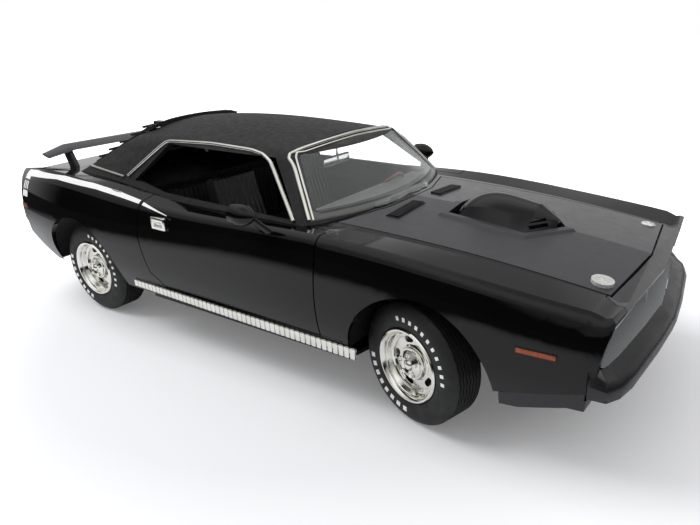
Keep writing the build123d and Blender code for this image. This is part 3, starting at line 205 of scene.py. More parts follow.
def work_in(material, tones=None, sheen=None, grain=None):
    """Lets patterns move a finish's colour, roughness and relief.

    Each is a pattern, given as a socket or as the size in mm of soft noise's lumps, and then two hex
    colours, two roughnesses, or a depth in mm and, where it isn't 1, a strength."""
    tree = material.node_tree
    for socket, look in (("Base Color", tones), ("Roughness", sheen), ("Normal", grain)):
        if look is None:
            continue
        pattern, low, high = (*look, 1.0)[:3]
        if not isinstance(pattern, bpy.types.NodeSocket):
            pattern = add_node(tree, "TexNoise", {"Vector": piece_place(material),
                                                  "Scale": 1 / (pattern * MM)}).outputs["Fac"]
        if socket == "Base Color":
            worked = add_node(tree, "ValToRGB", {0: pattern})
            for stop, spot, colour in zip(worked.color_ramp.elements, (NOISE_LOW, NOISE_HIGH), (low, high)):
                stop.position, stop.color = spot, linear(colour)
        elif socket == "Roughness":
            worked = add_node(tree, "MapRange", {0: pattern, 1: NOISE_LOW, 2: NOISE_HIGH, 3: low, 4: high})
        else:
            worked = add_node(tree, "Bump", {"Height": pattern, "Distance": low * MM, "Strength": high})
        tree.links.new(worked.outputs[0], tree.nodes["Principled BSDF"].inputs[socket])


def new_material(name, colour, roughness, tones=None, sheen=None, grain=None, sockets=None):
    """A named material: its shader's constants, and then what patterns work into it."""
    material = bpy.data.materials.new(name)
    material.use_nodes = True
    constants = {"Base Color": linear(colour), "Roughness": roughness, **(sockets or {})}
    for socket, value in constants.items():
        material.node_tree.nodes["Principled BSDF"].inputs[socket].default_value = value
    add_node(material.node_tree, "TexCoord")
    work_in(material, tones, sheen, grain)
    return material


def finish_node(material, *names):
    """Gives CAD nodes a finish."""
    for name in names:
        slots = frame["nodes"][name].data.materials
        slots.clear()
        slots.append(material)


def take(piece):
    """Selects one piece alone and makes it active."""
    bpy.ops.object.select_all(action="DESELECT")
    piece.select_set(True)
    bpy.context.view_layer.objects.active = piece
    return piece


def set_down(piece, matrix=None):
    """Moves a piece by a matrix and puts its place into its mesh."""
    if matrix is not None:
        piece.matrix_world = matrix
    take(piece)
    bpy.ops.object.transform_apply(location=True, rotation=True, scale=True)
    return piece


def skin_of_node(name):
    """A copy of a CAD node's mesh as a new piece."""
    skin = bpy.data.objects.new(name + "_skin", frame["nodes"][name].data.copy())
    bpy.context.scene.collection.objects.link(skin)
    return take(skin)


def finish_piece(piece, name, material, body, slot, *nodes, angle=35):
    """Applies a piece's place, smooths it, gives it its material and body, and hides the CAD nodes it stands
    for; slot is not used.
    """
    set_down(piece)
    bpy.ops.object.shade_smooth_by_angle(angle=math.radians(angle))
    piece.name = name
    piece.data.materials.clear()
    piece.data.materials.append(material)
    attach(piece, body)
    if nodes:
        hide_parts(*nodes)


gloss_enamel = new_material("gloss_black_enamel", "#070708", 0.06, (30, "#070708", "#0A0A0A"),
                            (9, 0.05, 0.09), sockets={"IOR": 1.42})
peel = add_node(gloss_enamel.node_tree, "TexNoise",
                {"Vector": piece_place(gloss_enamel), "Scale": 1 / (1.6 * MM), "Detail": 1.0})
work_in(gloss_enamel, grain=(peel.outputs["Fac"], 0.0005))
# Satin enamel scatters light into a soft grey; semi-gloss enamel keeps a faint mirror.
satin_enamel = new_material("satin_black_enamel", "#29292E", 0.38, (20, "#27272C", "#2E2E33"),
                            (4, 0.34, 0.42), (0.35, 0.006), {"Coat Weight": 0.5, "Coat Roughness": 0.22})
semi_gloss = new_material("semi_gloss_black_enamel", "#202023", 0.28, (20, "#1E1E21", "#242427"),
                          (4, 0.24, 0.32), (0.35, 0.004))
finish_node(gloss_enamel, "scoop", "door_left", "door_right", "boot_lid", "mirror_left", "mirror_right",
            "tail_panel")
finish_node(satin_enamel, "hood", "rear_louvre", "hood_vents")
finish_node(semi_gloss, "front_valance")

# The bumpers and the wing are cast with soft edges: their skins are merged and smooth across small angles.
MERGE = 0.002 * MM
SOFT_PARTS = (("front_bumper", semi_gloss, "body", 80), ("rear_bumper", semi_gloss, "body", 50),
              ("rear_wing", satin_enamel, "boot_assembly", 62))
for node, paint, body, angle in SOFT_PARTS:
    skin = skin_of_node(node)
    bpy.ops.mesh.customdata_custom_splitnormals_clear()
    bpy.ops.object.mode_set(mode="EDIT")
    bpy.ops.mesh.select_all(action="SELECT")
    bpy.ops.mesh.remove_doubles(threshold=MERGE)
    bpy.ops.mesh.normals_make_consistent(inside=False)
    bpy.ops.object.mode_set(mode="OBJECT")
    finish_piece(skin, node + "_skin", paint, body, "satin_black", node, angle=angle)

# The fenders and the header roll over into the nose: the fold there is rounded off, low at its middle.
ROLL_X = (118.6, 120.2, 121.8, 122.7, 123.8)
ROLL_DROP = (0.0, 0.35, 0.8, 0.45, 0.0)
ROLL_FLOOR, ROLL_TOP, ROLL_END = 41.6, 43.4, 125.6
ROLL_FACES_UP = 0.3
PITCH_HOOD, PITCH_NOSE = 3, 46


def roll_nose(skin):
    """Cuts a skin across the fold of the nose, lowers the fold and shades it as a roll."""
    mesh = skin.data
    for x in ROLL_X:
        for polygon in mesh.polygons:
            reach = [mesh.vertices[i].co.x for i in polygon.vertices]
            polygon.select = min(reach) < x * MM < max(reach)
        bpy.ops.object.mode_set(mode="EDIT")
        bpy.ops.mesh.bisect(plane_co=(x * MM, 0, 0), plane_no=(1, 0, 0), threshold=MERGE)
        bpy.ops.object.mode_set(mode="OBJECT")
    normals = [Vector(corner.vector) for corner in mesh.corner_normals]
    for number, loop in enumerate(mesh.loops):
        spot = mesh.vertices[loop.vertex_index].co / MM
        normal = normals[number]
        if spot.z > ROLL_FLOOR and ROLL_X[0] < spot.x < ROLL_END and normal.z > ROLL_FACES_UP:
            share = (spot.x - ROLL_X[0]) / (ROLL_END - ROLL_X[0])
            share = share * share * (3 - 2 * share)
            pitch = math.radians(PITCH_HOOD + (PITCH_NOSE - PITCH_HOOD) * share)
            level = math.sqrt(max(0.0, 1 - normal.y * normal.y))
            normals[number] = Vector((math.sin(pitch) * level, normal.y, math.cos(pitch) * level))
    for point in mesh.vertices:
        x, z = point.co.x / MM, point.co.z / MM
        for x_a, x_b, drop_a, drop_b in zip(ROLL_X, ROLL_X[1:], ROLL_DROP, ROLL_DROP[1:]):
            if z >= ROLL_TOP and x_a <= x < x_b:
                point.co.z -= MM * (drop_a + (drop_b - drop_a) * (x - x_a) / (x_b - x_a))
    mesh.normals_split_custom_set(normals)


for node, paint in (("body_shell", gloss_enamel), ("header_panel", satin_enamel)):
    skin = skin_of_node(node)
    roll_nose(skin)
    skin.data.materials.clear()
    skin.data.materials.append(paint)
    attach(skin, "body")
    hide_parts(node)


# ---- Side stripe -----------------------------------------------
# A thin white water-slide decal with a faint sheen along each shoulder, tapering out on the door. At the
# tail it turns down in a band, with plain bars between its two parts.
SIDES = ((-1, "right"), (1, "left"))
BESIDE = 60  # mm from the middle, beside the body, from where patches are laid on to it


def use_modifier(piece, kind, **settings):
    """Adds a modifier with its settings to the active piece and applies it."""
    modifier = piece.modifiers.new(kind, kind)
    for name, value in settings.items():
        setattr(modifier, name, value)
    bpy.ops.object.modifier_apply(modifier=modifier.name)


def lay_patch(columns, rows, place_point, side, target, lift, thickness):
    """A grid shaped by place_point(u, v) -> (x, z) in mm, projected sideways on to target as a thin skin."""
    bpy.ops.object.select_all(action="DESELECT")
    bpy.ops.mesh.primitive_grid_add(x_subdivisions=columns, y_subdivisions=rows, size=1)
    patch = bpy.context.object
    for point in patch.data.vertices:
        x, z = place_point(point.co.x + 0.5, point.co.y + 0.5)
        point.co = Vector((x, side * BESIDE, z)) * MM
    use_modifier(patch, "SHRINKWRAP", wrap_method="PROJECT", use_project_y=True, use_positive_direction=True,
                 use_negative_direction=True, target=target, offset=lift * MM)
    bpy.ops.object.mode_set(mode="EDIT")
    bpy.ops.mesh.select_all(action="SELECT")
    bpy.ops.mesh.normals_make_consistent(inside=False)
    bpy.ops.object.mode_set(mode="OBJECT")
    if patch.data.polygons[0].normal.y * side < 0:
        patch.data.flip_normals()
    use_modifier(patch, "SOLIDIFY", thickness=thickness * MM, offset=1.0)
    return patch


def join(pieces):
    """Joins pieces into the first one."""
    bpy.ops.object.select_all(action="DESELECT")
    for piece in pieces:
        piece.select_set(True)
    bpy.context.view_layer.objects.active = pieces[0]
    bpy.ops.object.join()
    return pieces[0]


def between(table, x):
    """The value at x of a short table of (x, value) points."""
    for (x_a, v_a), (x_b, v_b) in zip(table, table[1:]):
        if x <= x_b:
            break
    return v_a + (v_b - v_a) * (x - x_a) / (x_b - x_a)


def stripe_shape(x_a, x_b):
    """A patch of the stripe between two places along the car."""
    def shape(u, v):
        x = x_a + (x_b - x_a) * u
        return x, between(STRIPE_LOW, x) + (between(STRIPE_TOP, x) - between(STRIPE_LOW, x)) * v
    return shape


def band_shape(x_a, x_b, z_a, z_b):
    """A patch of the tail band, leaning with the tail."""
    def shape(u, v):
        z = z_a + (z_b - z_a) * v
        return x_a + (x_b - x_a) * u + TAIL_LEAN * (z - TAIL_MIDDLE), z
    return shape


STRIPE_TOP = ((-117.0, 54.3), (-108.8, 55.0), (-85.3, 55.45), (-66.9, 54.5), (-52.4, 53.1), (-38.8, 51.6),
              (-22.8, 48.8))
STRIPE_LOW = ((-117.0, 52.3), (-112.4, 52.6), (-89.4, 54.0), (-64.3, 53.0), (-50.8, 51.8), (-38.1, 50.6),
              (-22.8, 48.6))
STRIPE_END, STRIPE_SEAM, STRIPE_TIP = -116.6, (-39.0, -37.2), -23.2
BAND_FRONT, BAND_ROWS = -111.6, ((54.2, 51.4), (46.9, 44.4))
BARS_X, BAR_HALF, BARS_Z = (-115.8, -114.1, -112.4), 0.45, (50.7, 47.6)
TAIL_LEAN, TAIL_MIDDLE = 0.12, 50.0
FILM, FILM_LIFT, BAND_LIFT = 0.04, 0.03, 0.035
stripe_white = new_material("white_decal_film", "#FFFFFF", 0.4, (8, "#FAFAF8", "#FFFFFF"), (3, 0.34, 0.48),
                            (0.5, 0.004))
body_skin = bpy.data.objects["body_shell_skin"]
for side, name in SIDES:
    parts = [lay_patch(60, 3, stripe_shape(STRIPE_END, STRIPE_SEAM[0]), side, body_skin, FILM_LIFT, FILM)]
    parts += [lay_patch(6, 4, band_shape(STRIPE_END, BAND_FRONT, low, high), side, body_skin, BAND_LIFT,
                        FILM) for high, low in BAND_ROWS]
    parts += [lay_patch(2, 4, band_shape(x - BAR_HALF, x + BAR_HALF, BARS_Z[1], BARS_Z[0]), side,
                        body_skin, FILM_LIFT, FILM) for x in BARS_X]
    finish_piece(join(parts), "stripe_" + name, stripe_white, "body", "black_paint")
    tip = lay_patch(16, 2, stripe_shape(STRIPE_SEAM[1], STRIPE_TIP), side,
                    frame["nodes"]["door_" + name], FILM_LIFT, FILM)
    finish_piece(tip, "stripe_door_" + name, stripe_white, "door_" + name + "_assembly", "black_paint")

# ---- Side markers ----------------------------------------------
# Slim amber-red acrylic lenses, clear-skinned over fine optic lines, glued into shallow black bezels, one
# at each corner of the body.
LENS, LENS_LIFT, LENS_THICK = (9.4, 1.15), 0.10, 0.30
BEZEL, BEZEL_LIFT, BEZEL_THICK = (9.9, 1.65), 0.02, 0.20
MARKER_PLACES = ((108.4, 35.1), (-117.6, 40.6))
WAVE_LINES = 3.18  # a wave pattern of scale 1 has this many lines to the metre
MARKER_PITCH = 4 / WAVE_LINES  # 1.26 mm from line to line
marker_lens = new_material("amber_red_acrylic", "#963C18", 0.22, (1.5, "#8A3414", "#A6471E"),
                           sockets={"Coat Weight": 0.4})
optic = add_node(marker_lens.node_tree, "TexWave",
                 {"Vector": piece_place(marker_lens), "Scale": 1 / (MARKER_PITCH * MM * WAVE_LINES)})
work_in(marker_lens, grain=(optic.outputs["Fac"], 0.05))
bezel_black = new_material("moulded_black_bezel", "#0C0C0D", 0.3, None, (1, 0.24, 0.4), (0.4, 0.01))


def marker_pads(size, lift, thickness):
    """A rectangular pad with soft edges at each marker's place, on both sides of the body."""
    pads = []
    for x, z in MARKER_PLACES:
        for side, _ in SIDES:
            pad = lay_patch(12, 3, lambda u, v: (x + size[0] * (u - 0.5), z + size[1] * (v - 0.5)), side,
                            body_skin, lift, thickness)
            use_modifier(pad, "BEVEL", width=0.1 * MM, segments=2, limit_method="ANGLE",
                         angle_limit=math.radians(50))
            pads.append(pad)
    return join(pads)


finish_piece(marker_pads(LENS, LENS_LIFT, LENS_THICK), "marker_lenses", marker_lens, "body", "red_lens",
             "side_markers", angle=50)
finish_piece(marker_pads(BEZEL, BEZEL_LIFT, BEZEL_THICK), "marker_bezels", bezel_black, "body",
             "black_plastic", angle=50)

# ---- Chrome and sill trims -------------------------------------
# Trims are ABS with vacuum-metallised chrome: a mirror with a warm cast, a little uneven, because the
# film follows the moulding. Each sill trim is a row of rounded ribs on a strip, snapped on under the door.
chrome = new_material("vacuum_chrome", "#F4F3EC", 0.1, (5, "#EDECE3", "#FBFAF6"), (2.5, 0.06, 0.2),
                      (1.5, 0.012), {"Metallic": 1.0})
WHOLE = 1 / MM  # a metre in mm: a rib is moulded a metre long each way and scaled to its size
RIBS = 49
RIB_DEPTH, RIB_GAP, RIB_EDGE = 1.3, 0.35, 0.16 * WHOLE
SILL_TOP = ((-47.2, 21.0), (55.5, 20.6))
SILL_LOW = ((-47.2, 18.3), (55.5, 16.8))
SILL_FACE = 49.45
STRIP_SIZE, STRIP_SINK, STRIP_Z = (101.7, 0.9, 2.0), 0.25, 19.2


def moulded_box(middle, size, edge, segments=3):
    """A box of a size in mm about a middle, with its edges rounded."""
    bpy.ops.object.select_all(action="DESELECT")
    bpy.ops.mesh.primitive_cube_add(size=1)
    box = bpy.context.object
    box.scale = Vector(size) * MM
    box.location = Vector(middle) * MM
    bpy.ops.object.transform_apply(location=True, rotation=True, scale=True)
    bpy.ops.object.mode_set(mode="EDIT")
    bpy.ops.mesh.bevel(offset=edge * MM, segments=segments, affect="EDGES")
    bpy.ops.object.mode_set(mode="OBJECT")
    return box


def copy_piece(piece, matrix):
    """A copy with its own mesh, moved by a matrix."""
    copy = piece.copy()
    copy.data = piece.data.copy()
    bpy.context.scene.collection.objects.link(copy)
    return set_down(copy, matrix)


rib = moulded_box((0, 0, 0), [WHOLE] * 3, RIB_EDGE)
pitch = (SILL_TOP[1][0] - SILL_TOP[0][0]) / RIBS
sill_parts = []
for side, _ in SIDES:
    places = [(((SILL_TOP[0][0] + SILL_TOP[1][0]) / 2, side * (SILL_FACE - STRIP_SINK), STRIP_Z), STRIP_SIZE)]
    for step in range(RIBS):
        x = SILL_TOP[0][0] + pitch * (step + 0.5)
        low, high = between(SILL_LOW, x), between(SILL_TOP, x)
        places.append(((x, side * SILL_FACE, (low + high) / 2), (pitch - RIB_GAP, RIB_DEPTH, high - low)))
    sill_parts += [copy_piece(rib, Matrix.LocRotScale(Vector(middle) * MM, None, Vector(size) * MM))
                   for middle, size in places]
bpy.data.objects.remove(rib)
finish_piece(join(sill_parts), "sill_ribs", chrome, "body", "chrome_plating", "sill_trims", angle=40)

# ---- Door handles ----------------------------------------------
# A flush chromed plate in each door: a raised square frame around a dished grip, a plastic moulding
# pressed into the casting.
PLATE_MIDDLE, PLATE_SIZE, PLATE_EDGE = (-26.1, 46.0), (7.0, 1.5, 4.4), 0.35
PLATE_INSETS = ((0.55, 0.0), (0.3, -0.4), (1.0, -0.15), (0.3, 0.3))
SAME_WAY = 0.99  # the cosine above which a face looks the way that is asked for


def inset_faces(piece, facing, insets):
    """Insets the faces that look one way, again and again, each by a width and a height in mm.

    A primitive that comes after work on points is still selected whole, and grows all over instead."""
    for polygon in piece.data.polygons:
        polygon.select = polygon.normal.dot(Vector(facing)) > SAME_WAY
    bpy.ops.object.mode_set(mode="EDIT")
    bpy.ops.mesh.select_mode(type="FACE")
    for width, height in insets:
        bpy.ops.mesh.inset(thickness=width * MM, depth=height * MM)
    bpy.ops.object.mode_set(mode="OBJECT")


for side, name in SIDES:
    outer = max(abs(corner[1]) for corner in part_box("handle_" + name)) / MM
    plate = moulded_box((PLATE_MIDDLE[0], side * (outer - PLATE_SIZE[1] / 2), PLATE_MIDDLE[1]), PLATE_SIZE,
                        PLATE_EDGE)
    bpy.ops.object.mode_set(mode="EDIT")
    bpy.ops.mesh.select_all(action="DESELECT")
    bpy.ops.object.mode_set(mode="OBJECT")
    inset_faces(plate, (0, side, 0), PLATE_INSETS)
    finish_piece(plate, "handle_plate_" + name, chrome, "door_" + name + "_assembly", "chrome_plating",
                 "handle_" + name, angle=40)

# ---- Window trims ----------------------------------------------
# Chromed beads around the side windows, the windscreen and the lower edge of the vinyl, moulded with
# the window frames and wiped clean of paint. The windscreen has two, one inside the other.
SIDE_BEAD = ((-57.2, 38.3, 56.3), (-48.5, 34.0, 63.3), (-40.6, 30.5, 69.3), (-38.8, 30.3, 69.9),
             (-16.9, 29.7, 70.6), (2.0, 29.9, 70.0), (7.5, 30.6, 69.2), (11.5, 31.8, 67.4),
             (14.5, 33.5, 65.0), (22.0, 38.0, 58.5), (29.2, 42.3, 52.3))
QUARTER_BEAD = ((-86.0, 34.4, 57.3), (-72.0, 36.5, 56.9), (-57.4, 38.4, 56.3))
SCREEN_HALF = ((33.2, 39.8, 52.2), (24.6, 34.7, 61.0), (17.4, 30.2, 68.4), (17.0, 28.8, 69.6),
               (17.9, 25.8, 70.4), (20.0, 17.0, 71.6), (21.1, 8.0, 72.3), (21.4, 0.0, 72.6))
BEAD_GAP, BEAD_SINK, BEAD_CUTS = 1.25, 0.3, 7
BEAD_REACH, BEAD_STRAY = 14, 3.0  # how far out a bead's points are cast from, and how far they may move
PILLAR_Y = 28.0  # the windscreen's bead runs down the pillars beyond this, and across the header within
SIDE_LEAN, SCREEN_FACING = 0.25, (1, 0, 0.45)


def first_met(start, way, targets):
    """Where a line from start first meets one of the targets, if it does."""
    casts = [target.ray_cast(start, way) for target in targets]
    return min((spot for hit, spot, _, _ in casts if hit), key=lambda spot: (spot - start).length,
               default=None)


def draw_line(points):
    """A line of edges through points in mm, left in edit mode with all of it selected."""
    bpy.ops.object.select_all(action="DESELECT")
    bpy.ops.mesh.primitive_plane_add(size=MM)
    line = bpy.context.object
    bpy.ops.object.mode_set(mode="EDIT")
    bpy.ops.mesh.select_mode(type="VERT")
    bpy.ops.mesh.select_all(action="SELECT")
    bpy.ops.mesh.merge(type="CENTER")
    bpy.ops.transform.translate(value=Vector(points[0]) * MM)
    for here, there in zip(points, points[1:]):
        bpy.ops.mesh.extrude_vertices_move(
            TRANSFORM_OT_translate={"value": (Vector(there) - Vector(here)) * MM})
    bpy.ops.mesh.select_all(action="SELECT")
    return line


def draw_bead(points, radius, out):
    """A round bead through points in mm, laid on the roof from its outer side and sunk in it a little."""
    bead = draw_line(points)
    bpy.ops.mesh.subdivide(number_cuts=BEAD_CUTS)
    bpy.ops.object.mode_set(mode="OBJECT")
    out = Vector(out).normalized()
    for point in bead.data.vertices:
        spot = first_met(point.co + out * BEAD_REACH * MM, -out, (roof, body_skin))
        if spot and (spot - point.co).length < BEAD_STRAY * MM:
            point.co = spot + out * radius * (1 - 2 * BEAD_SINK) * MM
    use_modifier(bead, "SMOOTH", iterations=4)
    bpy.ops.object.convert(target="CURVE")
    bead.data.bevel_depth = radius * MM
    bead.data.bevel_resolution = 3
    bead.data.use_fill_caps = True
    bpy.ops.object.convert(target="MESH")
    return bead


roof = frame["nodes"]["roof_shell"]
beads = []
for side in (1, -1):
    for points, radius in ((SIDE_BEAD, 0.66), (QUARTER_BEAD, 0.55)):
        beads.append(draw_bead([(x, side * y, z) for x, y, z in points], radius, (0, side, SIDE_LEAN)))
for pull, radius in ((0.0, 0.6), (BEAD_GAP, 0.4)):
    half = [(x + 0.3 * pull, y - pull * min(1.0, y / PILLAR_Y), z - pull * (1.0 if y < PILLAR_Y else 0.25))
            for x, y, z in SCREEN_HALF]
    whole = half + [(x, -y, z) for x, y, z in reversed(half[:-1])]
    beads.append(draw_bead(whole, radius, SCREEN_FACING))
finish_piece(join(beads), "window_trims", chrome, "body", "chrome_plating", angle=60)

# ---- Windscreen ------------------------------------------------
# One clear polystyrene sheet, glued on from outside up to the chrome bead. Faint flow marks bend its
# reflections. Under its border the black vinyl frame of pillars and header is painted grey, paler low down: a
# painted reflection of the glass.
GLASS_LIFT, GLASS_THICK, BORDER_LIFT, BORDER_THICK = 0.28, 0.35, 0.08, 0.06
SCREEN_COLUMNS, SCREEN_ROWS = 80, 40
EASE_ALL, EASE_INSIDE = 12, 60  # passes of smoothing, first with the sheet's edge and then without it
SCREEN_LOW, SCREEN_HIGH = 52.6, 72.0
SCREEN_EDGE = ((52.6, 38.9), (61.0, 33.9), (68.4, 29.2), (69.6, 27.6), (70.4, 24.6), (71.4, 16.0),
               (72.0, 7.0))
SCREEN_AHEAD, SCREEN_X, SCREEN_BACK = 80, 20, 10  # cast from, left where nothing is met, and the limit
REFLECTION_PALE_Z, REFLECTION_DARK_Z = 53, 60  # painted reflection: the frame under the border is painted pale up to the first height and dark from the second
SCREEN_OUT = Vector(SCREEN_FACING).normalized()
clear = new_material("clear_polystyrene", "#F4F7F8", 0.0, grain=(12, 0.004),
                     sockets={"Transmission Weight": 1.0, "IOR": 1.49})
# The border's grey, paler low down, is painted reflection standing in for the glass's sheen over the dark
# frame.
surround_painted_reflection = new_material("surround_grey_painted_reflection", "#565550", 0.5, None, (2, 0.42, 0.6), (0.4, 0.01))
rise = add_node(surround_painted_reflection.node_tree, "SeparateXYZ", {0: piece_place(surround_painted_reflection)})
rise = add_node(surround_painted_reflection.node_tree, "MapRange",
                {0: rise.outputs["Z"], 1: REFLECTION_PALE_Z * MM, 2: REFLECTION_DARK_Z * MM, 3: 0.8, 4: 0.2})
work_in(surround_painted_reflection, tones=(rise.outputs[0], "#3A3733", "#6B6B67"))


def screen_sheet(lift, *targets):
    """A sheet over the windscreen's opening, cast on to the targets from ahead, and what missed them."""
    bpy.ops.object.select_all(action="DESELECT")
    bpy.ops.mesh.primitive_grid_add(x_subdivisions=SCREEN_COLUMNS, y_subdivisions=SCREEN_ROWS, size=1)
    sheet = bpy.context.object
    missed = []
    for point in sheet.data.vertices:
        z = SCREEN_LOW + (SCREEN_HIGH - SCREEN_LOW) * (point.co.y + 0.5)
        y = 2 * point.co.x * between(SCREEN_EDGE, z)
        spot = first_met(Vector((SCREEN_AHEAD, y, z)) * MM, Vector((-1, 0, 0)), targets)
        if spot is None or spot.x < SCREEN_BACK * MM:
            missed.append(point.index)
            spot = Vector((SCREEN_X, y, z)) * MM
        point.co = spot + SCREEN_OUT * lift * MM
    return sheet, missed


glass, _ = screen_sheet(GLASS_LIFT, roof, frame["nodes"]["windscreen"], body_skin)
rows = [divmod(point.index, SCREEN_COLUMNS + 1) for point in glass.data.vertices]
glass.vertex_groups.new(name="inside").add(
    [number for number, (row, column) in enumerate(rows)
     if 0 < row < SCREEN_ROWS and 0 < column < SCREEN_COLUMNS], 1.0, "REPLACE")
use_modifier(glass, "SMOOTH", iterations=EASE_ALL)
use_modifier(glass, "SMOOTH", iterations=EASE_INSIDE, vertex_group="inside")
use_modifier(glass, "SOLIDIFY", thickness=GLASS_THICK * MM, offset=-1.0)
finish_piece(glass, "windscreen_sheet", clear, "body", "clear_glazing", "windscreen", angle=40)

border, missed = screen_sheet(BORDER_LIFT, roof)
bpy.ops.object.mode_set(mode="EDIT")
bpy.ops.mesh.select_mode(type="VERT")
bpy.ops.mesh.select_all(action="DESELECT")
bpy.ops.object.mode_set(mode="OBJECT")
for number in missed:
    border.data.vertices[number].select = True
bpy.ops.object.mode_set(mode="EDIT")
bpy.ops.mesh.delete(type="VERT")
bpy.ops.object.mode_set(mode="OBJECT")
use_modifier(border, "SOLIDIFY", thickness=BORDER_THICK * MM, offset=-1.0)
finish_piece(border, "screen_border", surround_painted_reflection, "body", "black_plastic", angle=40)
finish_node(clear, "rear_glass", "headlamps")

# ---- Dash pad --------------------------------------------------
# A moulded pad that covers the dashboard up to the glass, snapped on from above; its top face is what shows
# through the lower part of the windscreen. It is painted pale grey: a painted reflection of light off the
# dash top.
PAD_MIDDLE, PAD_SIZE, PAD_EDGE = (30.1, 0, 50.5), (11.4, 69.0, 3.6), 0.6
pad = moulded_box(PAD_MIDDLE, PAD_SIZE, PAD_EDGE, 4)
# The pale grey here is painted reflection, not the pad's own colour.
pad_painted_reflection = new_material("dash_top_painted_reflection", "#8C8C88", 0.55, (9, "#85857F", "#949490"), (2, 0.48, 0.62),
                        (0.4, 0.012))
finish_piece(pad, "dash_pad", pad_painted_reflection, "body", "black_plastic", angle=40)

# ---- Interior mirror -------------------------------------------
# A chromed rounded mirror on a short stalk, one ABS moulding glued to the windscreen's header.
MIRROR_AT, MIRROR_SIZE, MIRROR_EDGE = (14.0, -1.0, 62.4), (1.6, 15.0, 3.6), 0.75
STALK_AT, STALK_RADIUS, STALK_LENGTH, STALK_EDGE = (14.6, -1.0, 65.3), 0.45, 5.8, 0.12


def moulded_disc(sides, radius, height, edge, segments):
    """A disc or rod of a size in mm, standing on its middle, with its edges rounded."""
    bpy.ops.object.select_all(action="DESELECT")
    bpy.ops.mesh.primitive_cylinder_add(vertices=sides, radius=radius * MM, depth=height * MM)
    disc = bpy.context.object
    bpy.ops.object.mode_set(mode="EDIT")
    bpy.ops.mesh.bevel(offset=edge * MM, segments=segments, affect="EDGES")
    bpy.ops.object.mode_set(mode="OBJECT")
    return disc


mirror = moulded_box(MIRROR_AT, MIRROR_SIZE, MIRROR_EDGE, 4)
stalk = set_down(moulded_disc(16, STALK_RADIUS, STALK_LENGTH, STALK_EDGE, 2),
                 Matrix.Translation(Vector(STALK_AT) * MM))
finish_piece(join([mirror, stalk]), "interior_mirror", chrome, "body", "chrome_plating", angle=40)

# ---- Vinyl roof ------------------------------------------------
# The roof is one moulding with a fine leather-like grain, sprayed matt black to look like vinyl.
# Grain cells are about 0.5 mm wide; they scatter the light, so the roof looks dark grey.
vinyl = new_material("grained_vinyl", "#1B1B1D", 0.62, (14, "#18181A", "#212123"), (2, 0.55, 0.72))
cells = add_node(vinyl.node_tree, "TexVoronoi", {"Vector": piece_place(vinyl), "Scale": 1 / (0.55 * MM)})
work_in(vinyl, grain=(cells.outputs["Distance"], 0.10, 0.7))
finish_node(vinyl, "roof_shell")

# ---- Argent grille ---------------------------------------------
# The grille trough and its divider are ABS sprayed silver-grey, a fine metallic without clear coat. The
# spray is masked at the fenders, so the moulding's ends beyond them are black.
MASK_EDGE = 42.6
argent = new_material("argent_paint", "#C4C7C9", 0.4, None, (6, 0.36, 0.48), (0.3, 0.006),
                      {"Metallic": 0.25})
paint_tree = argent.node_tree
fleck = add_node(paint_tree, "TexNoise",
                 {"Vector": piece_place(argent), "Scale": 1 / (0.4 * MM), "Detail": 3.0})
fleck = add_node(paint_tree, "ValToRGB", {0: fleck.outputs["Fac"]})
fleck.color_ramp.elements[0].color = linear("#B4B8BB")
fleck.color_ramp.elements[1].color = linear("#D8DADB")
width = add_node(paint_tree, "SeparateXYZ", {0: piece_place(argent)})
width = add_node(paint_tree, "Math", {0: width.outputs["Y"]}, operation="ABSOLUTE")
beyond = add_node(paint_tree, "Math", {0: width.outputs[0], 1: MASK_EDGE * MM}, operation="GREATER_THAN")
masked = add_node(paint_tree, "Mix", {0: beyond.outputs[0], 6: fleck.outputs[0],
                                      7: linear("#0B0B0C")}, data_type="RGBA")
paint_tree.links.new(masked.outputs[2], paint_tree.nodes["Principled BSDF"].inputs["Base Color"])
finish_node(argent, "grille_surround")

# ---- Lamps -----------------------------------------------------
# Tail lamps are dark red glossy acrylic, moulded with fine optic lines and pressed into the tail panel.
TAIL_PITCH = 3.125 / WAVE_LINES  # 0.98 mm
red_lens = new_material("red_acrylic", "#7A1A12", 0.18, (9, "#701610", "#861F16"),
                        sockets={"Coat Weight": 0.5})
optic = add_node(red_lens.node_tree, "TexWave",
                 {"Vector": piece_place(red_lens), "Scale": 1 / (TAIL_PITCH * MM * WAVE_LINES)},
                 bands_direction="Z")
work_in(red_lens, grain=(optic.outputs["Fac"], 0.05))
finish_node(red_lens, "tail_lamps")

# ---- Chassis and running gear ----------------------------------
# The pan and wheel housings are unpainted black ABS, lightly textured by the mould; axles, beam,
# knuckles, springs and exhaust are bare cast zinc, dull and a little spotted. Screws hold them.
black_abs = new_material("black_abs", "#151516", 0.5, (9, "#131314", "#1B1B1C"), (2, 0.42, 0.6),
                         (0.3, 0.02))
finish_node(black_abs, "chassis_pan", "front_wheel_wells", "rear_wheel_wells", "boot_floor", "grille",
            "interior_tub", "package_shelf", "dashboard")
zinc = new_material("bare_zinc", "#8C8D8F", 0.38, (3, "#7E7F82", "#9A9B9D"), (1.2, 0.3, 0.5),
                    (0.5, 0.015), {"Metallic": 1.0})
finish_node(zinc, "exhaust", "rear_axle", "front_beam", "tie_rod", "leaf_springs", "knuckle_left",
            "knuckle_right")

# ---- Inner trays -----------------------------------------------
# Thin black ABS liners clipped inside the body: one behind each door's front seam, one at each side of
# the boot. They close the openings through which the table would show.
LINERS = (((43.0, 41.05, 33.75), (7.0, 0.6, 27.5), 0.15), ((-111.75, 36.8, 31.25), (20.5, 15.4, 6.5), 0.6))
liners = [moulded_box((x, side * y, z), size, edge) for (x, y, z), size, edge in LINERS for side, _ in SIDES]
finish_piece(join(liners), "inner_liners", black_abs, "body", "black_plastic", angle=40)

